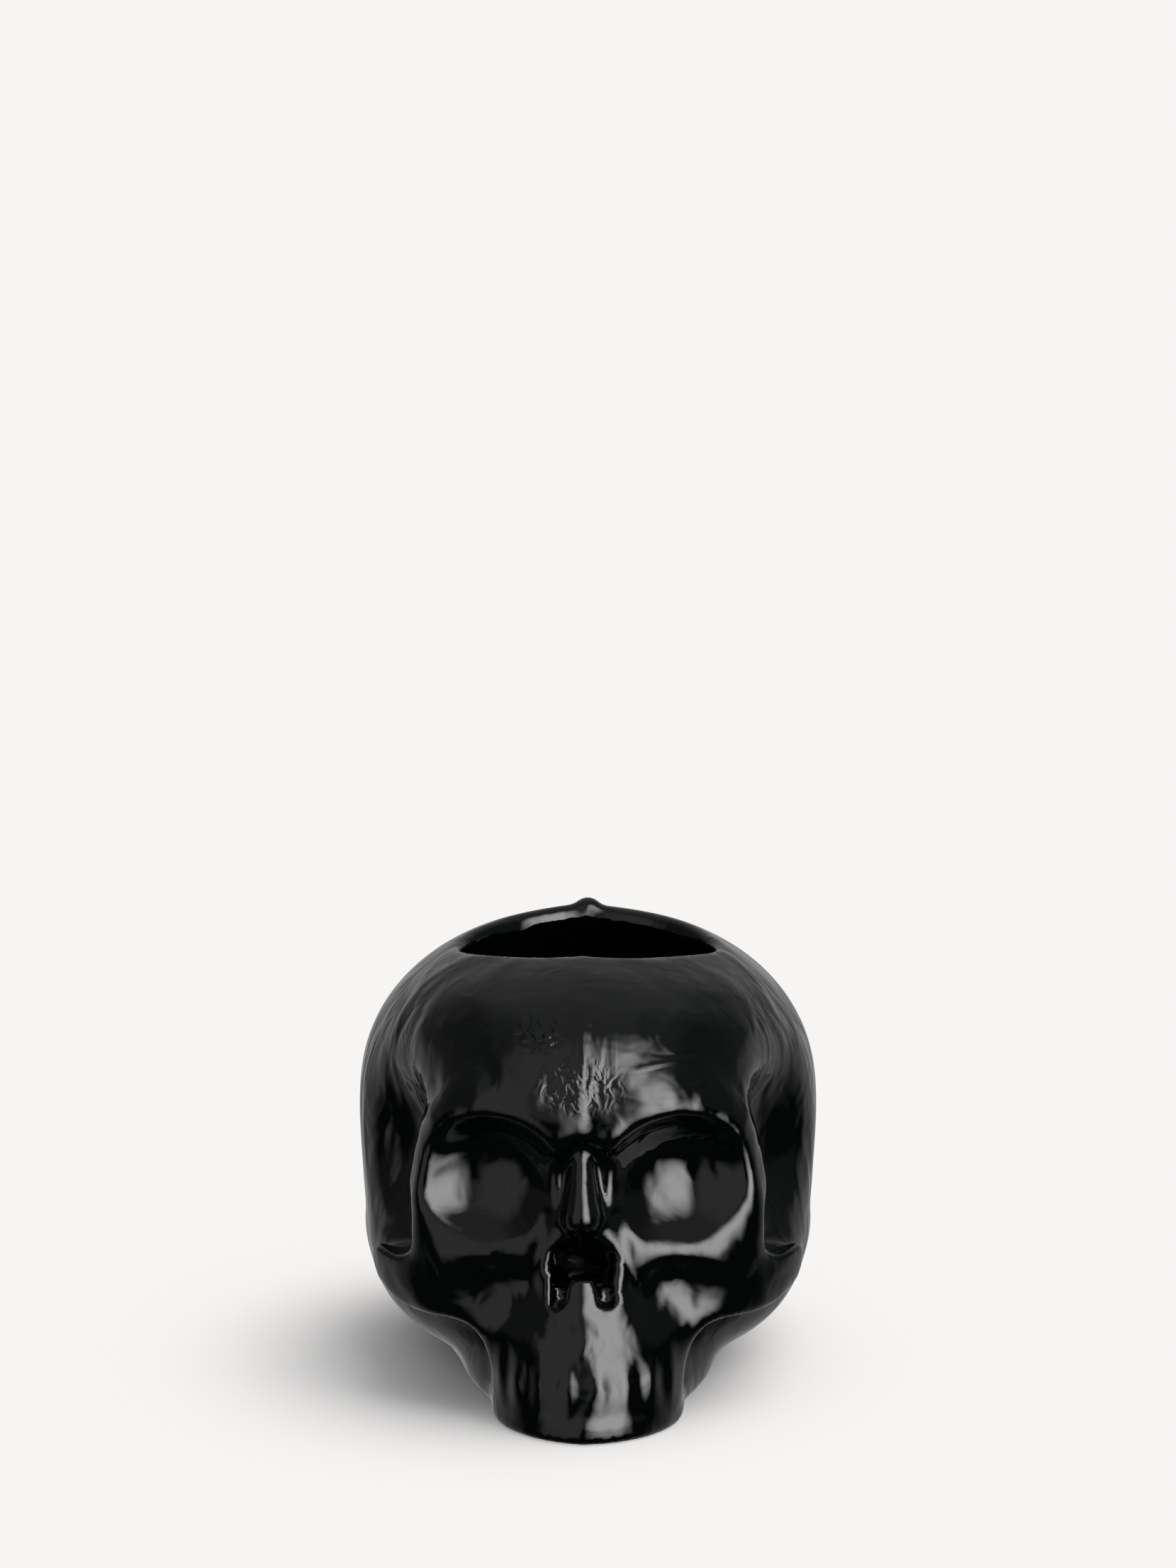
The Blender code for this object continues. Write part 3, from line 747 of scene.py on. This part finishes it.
@dataclass(frozen=True)
class MouldMarks:
    """The low relief that the mould leaves on the glass: how far it stands out at each point."""

    overall: Overall = Overall()
    tooth_level: float = 10.5 * MM
    tooth_root: float = 7.5 * MM
    tooth_relief: float = 0.5 * MM
    tooth_angle: float = 15.5
    tooth_end: float = 62
    tooth_fade: float = 10
    arc_radius: float = 21.5 * MM
    keel_height: float = 0.8 * MM
    keel_reach: float = 15 * MM

    def teeth(self, points: Points) -> np.ndarray:
        """How far the roots of the teeth stand out, each one a soft upright ridge.

        Args:
            points: The x, y and z of the points to measure.

        Returns:
            One height for each point.
        """
        out, back, up = points
        centre = self.overall.front + self.arc_radius
        angle = np.arctan2(out, centre - back)
        wave = 0.5 - 0.5 * np.cos(2 * np.pi * angle / math.radians(self.tooth_angle))
        level = np.clip(1 - np.abs(up - self.tooth_level) / self.tooth_root, 0.0, 1.0)
        level = level * level * (3 - 2 * level)
        fade = (math.radians(self.tooth_end) - angle) / math.radians(self.tooth_fade)
        front = np.clip(fade, 0.0, 1.0)
        return self.tooth_relief * wave * level * front * (back < centre)

    def keel(self, out: np.ndarray) -> np.ndarray:
        """How far the parting line stands out, by the distance from it."""
        return self.keel_height * np.clip(1 - out / self.keel_reach, 0.0, 1.0) ** 2


def add_node(tree: bpy.types.NodeTree, kind: str, feeds: Feeds, **settings: str) -> bpy.types.Node:
    """Adds a node to a tree and feeds its inputs.

    Args:
        tree: The tree that gets the node.
        kind: Kind of the node, without the words that every kind starts with.
        feeds: For inputs by name or number, the socket that feeds each one, or its value.
        **settings: The node's own choices, such as its operation.

    Returns:
        The new node.
    """
    node = tree.nodes.new("ShaderNode" + kind)
    for name, choice in settings.items():
        setattr(node, name, choice)
    for key, feed in feeds.items():
        if isinstance(feed, bpy.types.NodeSocket):
            tree.links.new(feed, node.inputs[key])
        else:
            node.inputs[key].default_value = feed
    return node


def between(edges: tuple[float, float]) -> Feeds:
    """The two edges between which a map range node runs."""
    return {"From Min": edges[0], "From Max": edges[1]}


def grain_group() -> bpy.types.ShaderNodeTree:
    """A patch of uneven grain, as the height by which the surface stands out.

    Returns:
        The node group, with the inputs Waves (waves to a metre along each axis), Centre and
        Reach (middle and half size of the patch), Height and Twist, and the output Height.
    """
    found = bpy.data.node_groups.get("grain")
    if found:
        return found
    group = bpy.data.node_groups.new("grain", "ShaderNodeTree")
    for name in ("Waves", "Centre", "Reach"):
        group.interface.new_socket(name, in_out="INPUT", socket_type="NodeSocketVector")
    for name in ("Height", "Twist"):
        group.interface.new_socket(name, in_out="INPUT", socket_type="NodeSocketFloat")
    group.interface.new_socket("Height", in_out="OUTPUT", socket_type="NodeSocketFloat")
    start = group.nodes.new("NodeGroupInput").outputs
    end = group.nodes.new("NodeGroupOutput")
    place = add_node(group, "TexCoord", {}).outputs["Object"]
    scaled = add_node(group, "VectorMath", {0: place, 1: start["Waves"]}, operation="MULTIPLY")
    waves = {"Vector": scaled.outputs["Vector"], "Distortion": start["Twist"]}
    noise = add_node(group, "TexNoise", {**waves, "Scale": 1.0, "Detail": 1.0})
    swing = add_node(group, "Math", {0: noise.outputs["Fac"], 1: 0.5}, operation="SUBTRACT")
    away = add_node(group, "VectorMath", {0: place, 1: start["Centre"]}, operation="SUBTRACT")
    sides = {0: away.outputs["Vector"], 1: start["Reach"]}
    share = add_node(group, "VectorMath", sides, operation="DIVIDE")
    length = add_node(group, "VectorMath", {0: share.outputs["Vector"]}, operation="LENGTH")
    fall = {"Value": length.outputs["Value"], "From Min": 1.0, "From Max": 0.4}
    patch = add_node(group, "MapRange", fall, interpolation_type="SMOOTHSTEP")
    tall = add_node(group, "Math", {0: swing.outputs[0], 1: start["Height"]}, operation="MULTIPLY")
    both = {0: tall.outputs[0], 1: patch.outputs["Result"]}
    height = add_node(group, "Math", both, operation="MULTIPLY")
    group.links.new(height.outputs[0], end.inputs["Height"])
    return group


@dataclass(frozen=True)
class Grain:
    """One patch of fine unevenness: lengths of its waves, middle, half size and height."""

    waves: Stop
    centre: Stop
    reach: Stop
    height: float
    twist: float = 0.0

    def add(self, tree: bpy.types.NodeTree) -> bpy.types.NodeSocket:
        """Adds the patch to a material.

        Args:
            tree: The material's nodes.

        Returns:
            The socket with the height of the patch.
        """
        node = tree.nodes.new("ShaderNodeGroup")
        node.node_tree = grain_group()
        node.inputs["Waves"].default_value = [1 / length for length in self.waves]
        for name in ("Centre", "Reach", "Height", "Twist"):
            node.inputs[name].default_value = getattr(self, name.lower())
        return node.outputs["Height"]


@dataclass(frozen=True)
class BlackGlass:
    """Black pressed glass, glossy all over, with the faint unevenness of a hot mould."""

    name: str = "black_glass"
    colour: tuple[float, float, float, float] = (0.0008, 0.0015, 0.0017, 1.0)
    roughness: float = 0.035
    index: float = 1.52

    def grains(self) -> tuple[Grain, ...]:
        """The patches: waves all over, temple streaks, brow wrinkles and chill marks.

        Returns:
            The patches, in the order in which their heights are added up.
        """
        everywhere = (1.0, 1.0, 1.0)
        middle = (0.0, 0.0, 0.0)
        front = -45 * MM
        swell = Grain((13 * MM, 13 * MM, 15 * MM), middle, everywhere, 1.1 * MM, 0.5)
        ripple = Grain((5 * MM, 5 * MM, 6 * MM), middle, everywhere, 0.24 * MM, 0.6)
        temples = tuple(
            Grain(
                waves=(9 * MM, 5.5 * MM, 16 * MM),
                centre=(side * 40 * MM, -12 * MM, 52 * MM),
                reach=(17 * MM, 38 * MM, 36 * MM),
                height=0.7 * MM,
                twist=0.9,
            )
            for side in (-1, 1)
        )
        wrinkles = Grain(
            waves=(14 * MM, 14 * MM, 3.4 * MM),
            centre=(12 * MM, front, 69 * MM),
            reach=(15 * MM, 12 * MM, 11 * MM),
            height=0.34 * MM,
            twist=0.8,
        )
        streaks = Grain(
            waves=(1.8 * MM, 9 * MM, 11 * MM),
            centre=(2 * MM, front, 71 * MM),
            reach=(5 * MM, 12 * MM, 12 * MM),
            height=0.36 * MM,
            twist=0.3,
        )
        fan = Grain(
            waves=(2.2 * MM, 4 * MM, 2.6 * MM),
            centre=(-1 * MM, front, 66.5 * MM),
            reach=(10 * MM, 12 * MM, 6.5 * MM),
            height=0.34 * MM,
            twist=1.2,
        )
        jaw = Grain(
            waves=(5 * MM, 8 * MM, 7 * MM),
            centre=(0.0, front, 16 * MM),
            reach=(19 * MM, 16 * MM, 15 * MM),
            height=0.5 * MM,
            twist=0.8,
        )
        chill = Grain(
            waves=(2.4 * MM, 4 * MM, 2.0 * MM),
            centre=(-9 * MM, -43 * MM, 75.5 * MM),
            reach=(6 * MM, 12 * MM, 4 * MM),
            height=0.75 * MM,
            twist=1.0,
        )
        return (swell, ripple, *temples, wrinkles, streaks, fan, jaw, chill)

    def material(self) -> bpy.types.Material:
        """The finish as a material.

        Returns:
            The material, with the heights of all patches summed into one bump.
        """
        material = bpy.data.materials.new(self.name)
        material.use_nodes = True
        tree = material.node_tree
        shader = tree.nodes["Principled BSDF"]
        shader.inputs["Base Color"].default_value = self.colour
        shader.inputs["Roughness"].default_value = self.roughness
        shader.inputs["IOR"].default_value = self.index
        first, *others = (grain.add(tree) for grain in self.grains())
        height = first
        for patch in others:
            height = add_node(tree, "Math", {0: height, 1: patch}, operation="ADD").outputs[0]
        bump = add_node(tree, "Bump", {"Height": height, "Distance": 1.0})
        tree.links.new(bump.outputs["Normal"], shader.inputs["Normal"])
        return material


@dataclass(frozen=True)
class Blends:
    """How softly each mass or hollow runs into the masses before it."""

    forehead: float = 12 * MM
    arch: float = 4 * MM
    temple: float = 8 * MM
    face: float = 4 * MM
    brow: float = 8 * MM
    sill: float = 3 * MM
    cheek_dip: float = 5 * MM
    nose_bed: float = 4 * MM
    nose_ridge: float = 2.2 * MM
    nose_recess: float = 1.0 * MM
    throat: float = 5 * MM
    foot: float = 2 * MM
    button: float = 1.6 * MM


@dataclass
class Skull:
    """The skull in one piece of glass."""

    overall: Overall = Overall()
    braincase: Braincase = Braincase()
    face: Face = Face()
    socket: EyeSocket = EyeSocket()
    nose: Nose = Nose()
    foot: Foot = Foot()
    throat: Throat = Throat()
    well: CandleWell = CandleWell()
    marks: MouldMarks = MouldMarks()
    blends: Blends = Blends()
    finish: BlackGlass = BlackGlass()
    voxels: tuple[float, ...] = (1.2 * MM, 0.8 * MM)
    steps: int = 5

    def outside(self, points: Points) -> np.ndarray:
        """Distance outside the skull before the well is pressed into it.

        Args:
            points: The x, y and z of the points to measure.

        Returns:
            One distance for each point, negative within.
        """
        x, y, z = points
        half = (np.abs(x), y, z)
        seam = (np.abs(x - self.overall.seam_x), y, z)
        case, face, socket, soft = self.braincase, self.face, self.socket, self.blends
        form = join(case.form(half), case.forehead(half), soft.forehead)
        form = join(form, face.arch(half, case.lower_inset), soft.arch)
        form = carve(form, case.temple(half), soft.temple)
        form = join(form, face.form(half), soft.face)
        form = join(form, face.brow(half), soft.brow)
        form = join(form, socket.sill(half), soft.sill)
        form = carve(form, socket.form(seam), socket.edge)
        form = carve(form, face.cheek_dip(half), soft.cheek_dip)
        form = carve(form, self.nose.bed(seam), soft.nose_bed) + self.nose.groove(seam)
        form = join(form, self.nose.form(seam), soft.nose_ridge)
        form = carve(form, self.nose.recess(seam), soft.nose_recess) - self.marks.teeth(seam)
        form = join(form, self.throat.form(half), soft.throat)
        form = join(form, self.foot.form(half), soft.foot)
        return form - self.marks.keel(seam[0])

    def form(self, points: Points) -> np.ndarray:
        """Distance outside the glass.

        Args:
            points: The x, y and z of the points to measure.

        Returns:
            One distance for each point, negative within.
        """
        form = join(self.outside(points), self.well.button(points), self.blends.button)
        form = carve(form, self.well.form(points), self.well.lip_edge)
        return carve(form, points[2], self.foot.edge)

    def build(self, node: bpy.types.Object) -> bpy.types.Object:
        """Makes the glass from the plain model's mesh and dresses it.

        Args:
            node: The plain model's own object.

        Returns:
            The finished skull.
        """
        body = bpy.data.objects.new("skull", node.data.copy())
        body.modifiers.clear()
        bpy.context.scene.collection.objects.link(body)
        for voxel in self.voxels:
            remesh(body, voxel)
            settle(body, self.form, self.steps, voxel)
        fit(body, *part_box(node.name))
        body.data.materials.clear()
        body.data.materials.append(self.finish.material())
        body.data.shade_smooth()
        return body


def mesh_points(mesh: bpy.types.Mesh) -> np.ndarray:
    """The places of the mesh's points.

    Args:
        mesh: The mesh to read.

    Returns:
        The places, one to a row.
    """
    flat = np.empty(len(mesh.vertices) * 3)
    mesh.vertices.foreach_get("co", flat)
    return flat.reshape(-1, 3)


def put_points(mesh: bpy.types.Mesh, places: np.ndarray) -> None:
    """Moves the mesh's points to the given places."""
    mesh.vertices.foreach_set("co", np.ascontiguousarray(places).ravel())
    mesh.update()


def remesh(obj: bpy.types.Object, voxel: float) -> None:
    """Covers the object's surface anew with even four-sided faces.

    Args:
        obj: The object to cover.
        voxel: Rough size of the faces.
    """
    cover = obj.modifiers.new("even_faces", "REMESH")
    cover.mode = "VOXEL"
    cover.voxel_size = voxel
    graph = bpy.context.evaluated_depsgraph_get()
    mesh = bpy.data.meshes.new_from_object(obj.evaluated_get(graph), depsgraph=graph)
    obj.modifiers.clear()
    old, obj.data = obj.data, mesh
    bpy.data.meshes.remove(old)


def settle(obj: bpy.types.Object, form: Form, steps: int, reach: float) -> None:
    """Moves the object's points along the form's slope until they lie on its surface.

    Args:
        obj: The object to move.
        form: Gives the distance outside the wanted surface.
        steps: How many moves are made.
        reach: The longest move.
    """
    points = list(mesh_points(obj.data).T)
    nudge = 0.02 * MM
    for _ in range(steps):
        here = form(points)
        slope = []
        for axis in range(3):
            ahead = [p + nudge * (i == axis) for i, p in enumerate(points)]
            behind = [p - nudge * (i == axis) for i, p in enumerate(points)]
            slope.append((form(ahead) - form(behind)) / (2 * nudge))
        steep = sum(s * s for s in slope) + 1e-6
        move = np.clip(here / np.sqrt(steep), -reach, reach) / np.sqrt(steep)
        points = [p - move * s for p, s in zip(points, slope)]
    put_points(obj.data, np.stack(points, axis=1))


def fit(obj: bpy.types.Object, lowest: Sequence[float], highest: Sequence[float]) -> None:
    """Brings the object to exactly the given box.

    Args:
        obj: The object to fit.
        lowest: Lowest corner of the box.
        highest: Highest corner of the box.
    """
    points = mesh_points(obj.data)
    least, most = points.min(axis=0), points.max(axis=0)
    low, high = np.array(lowest), np.array(highest)
    put_points(obj.data, low + (points - least) * (high - low) / (most - least))


def soft_edge_group() -> bpy.types.ShaderNodeTree:
    """A value that is 1 over the middle of a panel and falls softly to 0 at its edges.

    Returns:
        The node group, with the input Softness, a share of the panel's half width, and the
        output Share.
    """
    found = bpy.data.node_groups.get("soft_edge")
    if found:
        return found
    group = bpy.data.node_groups.new("soft_edge", "ShaderNodeTree")
    softness = group.interface.new_socket("Softness", in_out="INPUT", socket_type="NodeSocketFloat")
    softness.default_value = 0.3
    group.interface.new_socket("Share", in_out="OUTPUT", socket_type="NodeSocketFloat")
    start = group.nodes.new("NodeGroupInput")
    end = group.nodes.new("NodeGroupOutput")
    place = add_node(group, "TexCoord", {}).outputs["Generated"]
    split = add_node(group, "SeparateXYZ", {"Vector": place})
    fall = {0: start.outputs["Softness"], 1: -0.5, 2: 0.5}
    inner = add_node(group, "Math", fall, operation="MULTIPLY_ADD")
    shares = []
    for axis in ("X", "Y"):
        centred = add_node(group, "Math", {0: split.outputs[axis], 1: 0.5}, operation="SUBTRACT")
        side = add_node(group, "Math", {0: centred.outputs[0]}, operation="ABSOLUTE")
        edge = {"Value": side.outputs[0], "From Min": 0.5, "From Max": inner.outputs[0]}
        share = add_node(group, "MapRange", edge, interpolation_type="SMOOTHSTEP")
        shares.append(share.outputs["Result"])
    both = add_node(group, "Math", dict(enumerate(shares)), operation="MULTIPLY")
    group.links.new(both.outputs[0], end.inputs["Share"])
    return group


def card_material(name: str, strength: float, softness: float) -> bpy.types.Material:
    """A material for a card: it gives light that falls off towards the card's edges.

    Args:
        name: Name of the material.
        strength: Strength of the light in the middle of the card.
        softness: Share of the card's half width over which the light falls off.

    Returns:
        The material, clear where it gives no light.
    """
    material = bpy.data.materials.new(name)
    material.use_nodes = True
    tree = material.node_tree
    tree.nodes.clear()
    edge = tree.nodes.new("ShaderNodeGroup")
    edge.node_tree = soft_edge_group()
    edge.inputs["Softness"].default_value = softness
    light = add_node(tree, "Emission", {"Strength": strength}).outputs["Emission"]
    clear = add_node(tree, "BsdfTransparent", {}).outputs["BSDF"]
    mix = add_node(tree, "MixShader", {"Fac": edge.outputs["Share"], 1: clear, 2: light})
    add_node(tree, "OutputMaterial", {"Surface": mix.outputs["Shader"]})
    return material


@dataclass(frozen=True)
class Card:
    """A flat bright panel beside the set, which is there only to be mirrored in the glass.

    Azimuth 0 is towards the camera and 90 to the right; the elevation is above the horizon.
    """

    name: str
    azimuth: float
    elevation: float
    distance: float
    width: float
    height: float
    strength: float
    softness: float = 0.2
    aim: Stop = (0.0, 0.0, 0.045)

    @property
    def place(self) -> Vector:
        """Middle of the panel.

        Returns:
            The place, out from what the panel faces.
        """
        azimuth, elevation = math.radians(self.azimuth), math.radians(self.elevation)
        out = self.distance * math.cos(elevation)
        up = self.distance * math.sin(elevation)
        away = Vector((out * math.sin(azimuth), -out * math.cos(azimuth), up))
        return Vector(self.aim) + away

    def build(self) -> bpy.types.Object:
        """Puts up the panel, facing its aim.

        Returns:
            The panel, which only the glass mirrors.
        """
        bpy.ops.mesh.primitive_plane_add(size=1, location=self.place)
        card = bpy.context.object
        card.name = self.name
        card.scale = (self.width, self.height, 1)
        towards = Vector(self.aim) - self.place
        card.rotation_euler = towards.to_track_quat("Z", "Y").to_euler()
        card.data.materials.append(card_material(self.name, self.strength, self.softness))
        card.visible_diffuse = False
        card.visible_shadow = False
        card.visible_camera = False
        return card


@dataclass(frozen=True)
class Floor:
    """The pale floor that the skull stands on, which also fills the background.

    Near the skull it is lit and takes the shadow. Further out it shows its own even colour.
    """

    reach: float = 12.0
    colour: tuple[float, float, float, float] = (0.86, 0.85, 0.845, 1.0)
    far_colour: tuple[float, float, float, float] = (0.93, 0.915, 0.907, 1.0)
    fade_from: Stop = (-14 * MM, -6 * MM, 0.0)
    fade_start: float = 24 * MM
    fade_end: float = 78 * MM
    fade: float = 0.94

    def build(self) -> bpy.types.Object:
        """Lays the floor, at the level of the skull's foot.

        Returns:
            The floor.
        """
        bpy.ops.mesh.primitive_plane_add(size=self.reach, location=(0, 3, 0))
        floor = bpy.context.object
        floor.name = "floor"
        floor.data.materials.append(self.material())
        floor.visible_glossy = False
        return floor

    def material(self) -> bpy.types.Material:
        """The floor's finish, matt and pale.

        Returns:
            The material, which glows in its own colour where it is far from the shadow.
        """
        material = bpy.data.materials.new("floor")
        material.use_nodes = True
        tree = material.node_tree
        shader = tree.nodes["Principled BSDF"]
        shader.inputs["Base Color"].default_value = self.colour
        shader.inputs["Roughness"].default_value = 1.0
        shader.inputs["Specular IOR Level"].default_value = 0.0
        far = add_node(tree, "Emission", {"Color": self.far_colour, "Strength": 1.0})
        place = add_node(tree, "NewGeometry", {}).outputs["Position"]
        away = add_node(tree, "VectorMath", {0: place, 1: self.fade_from}, operation="DISTANCE")
        reach = {"From Min": self.fade_start, "From Max": self.fade_end, "To Max": self.fade}
        reach["Value"] = away.outputs["Value"]
        fading = add_node(tree, "MapRange", reach, interpolation_type="SMOOTHSTEP")
        ray = add_node(tree, "LightPath", {})
        kinds = ray.outputs["Is Camera Ray"]
        for kind in ("Is Glossy Ray", "Is Transmission Ray"):
            either = {0: kinds, 1: ray.outputs[kind]}
            kinds = add_node(tree, "Math", either, operation="MAXIMUM").outputs["Value"]
        both = {0: fading.outputs["Result"], 1: kinds}
        seen = add_node(tree, "Math", both, operation="MULTIPLY").outputs["Value"]
        layers = {"Fac": seen, 1: shader.outputs["BSDF"], 2: far.outputs["Emission"]}
        mix = add_node(tree, "MixShader", layers)
        tree.links.new(mix.outputs["Shader"], tree.nodes["Material Output"].inputs["Surface"])
        return material


@dataclass(frozen=True)
class Studio:
    """The set: floor, cards, a broad soft lamp for the floor, and the dim room."""

    floor: Floor = Floor()
    room: float = 0.30
    room_side: float = 0.10
    room_front_low: float = 0.02
    room_back_low: float = 0.34
    low_edge: tuple[float, float] = (-0.15, 0.35)
    side_edge: tuple[float, float] = (0.35, 0.8)
    horizon: tuple[float, float] = (-0.06, 0.10)
    lamp_strength: float = 1.6
    lamp_spread: float = 60.0
    lamp_from: Stop = (0.46, 0.0, 0.88)
    dome: float = 0.62
    cards: tuple[Card, ...] = (
        Card("key_card", 28, 12, 0.8, 1.0, 1.9, 7.0, 0.9),
        Card("left_card", -36, 12, 1.0, 1.2, 2.3, 0.5, 0.6),
    )

    def build(self) -> None:
        """Puts up the whole set."""
        self.floor.build()
        for card in self.cards:
            card.build()
        self.light_room()
        self.hang_lamp()

    def light_room(self) -> None:
        """Makes the room: dim, paler behind the set than to the front, and even on the floor."""
        world = bpy.data.worlds.new("room")
        bpy.context.scene.world = world
        world.use_nodes = True
        tree = world.node_tree
        way = add_node(tree, "TexCoord", {}).outputs["Generated"]
        split = add_node(tree, "SeparateXYZ", {"Vector": way})
        low = {"To Min": self.room_front_low, "To Max": self.room_back_low}
        low |= {"Value": split.outputs["Y"], **between(self.low_edge)}
        backward = add_node(tree, "MapRange", low)
        sideways = add_node(tree, "Math", {0: split.outputs["X"]}, operation="ABSOLUTE")
        side = {"To Min": self.room, "To Max": self.room_side}
        side |= {"Value": sideways.outputs[0], **between(self.side_edge)}
        beside = add_node(tree, "MapRange", side)
        up = {"To Min": backward.outputs["Result"], "To Max": beside.outputs["Result"]}
        up |= {"Value": split.outputs["Z"], **between(self.horizon)}
        above = add_node(tree, "MapRange", up).outputs["Result"]
        even = add_node(tree, "LightPath", {}).outputs["Is Diffuse Ray"]
        seen = add_node(tree, "Mix", {"Factor": even, "A": above, "B": self.dome})
        background = tree.nodes["Background"]
        background.inputs["Color"].default_value = (1.0, 1.0, 1.0, 1.0)
        tree.links.new(seen.outputs["Result"], background.inputs["Strength"])

    def hang_lamp(self) -> None:
        """Hangs the broad lamp high to the right, which gives the soft shadow on the floor."""
        lamp = bpy.data.lights.new("soft_lamp", "SUN")
        lamp.energy = self.lamp_strength
        lamp.angle = math.radians(self.lamp_spread)
        holder = bpy.data.objects.new("soft_lamp", lamp)
        bpy.context.scene.collection.objects.link(holder)
        holder.rotation_euler = Vector(self.lamp_from).to_track_quat("Z", "Y").to_euler()
        holder.visible_glossy = False


@dataclass(frozen=True)
class View:
    """The camera, at the angle from which the skull is seen slightly from above."""

    distance: float = 0.95
    elevation: float = 16.5
    aim_level: float = 0.044
    tilt_up: float = 4.11
    lens: float = 111.13
    sensor: float = 36.0

    def build(self) -> bpy.types.Object:
        """Adds the camera and makes it the scene's own.

        Returns:
            The camera.
        """
        data = bpy.data.cameras.new("camera")
        data.lens = self.lens
        data.sensor_width = self.sensor
        data.clip_end = 50.0
        camera = bpy.data.objects.new("camera", data)
        bpy.context.scene.collection.objects.link(camera)
        angle = math.radians(self.elevation)
        level = self.aim_level + self.distance * math.sin(angle)
        camera.location = (0, -self.distance * math.cos(angle), level)
        camera.rotation_euler = (math.radians(90 - self.elevation + self.tilt_up), 0, 0)
        bpy.context.scene.camera = camera
        return camera


def main() -> None:
    """Builds the skull and its set."""
    logging.basicConfig(level=logging.INFO, format="%(message)s")
    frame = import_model()
    View().build()
    Studio().build()
    skull = Skull().build(frame["nodes"]["skull_body"])
    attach(skull, "root")
    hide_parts("skull_body")
    LOG.info("%s: %d faces", skull.name, len(skull.data.polygons))
    bpy.context.scene.view_settings.view_transform = "Standard"


if __name__ == "__main__":
    main()
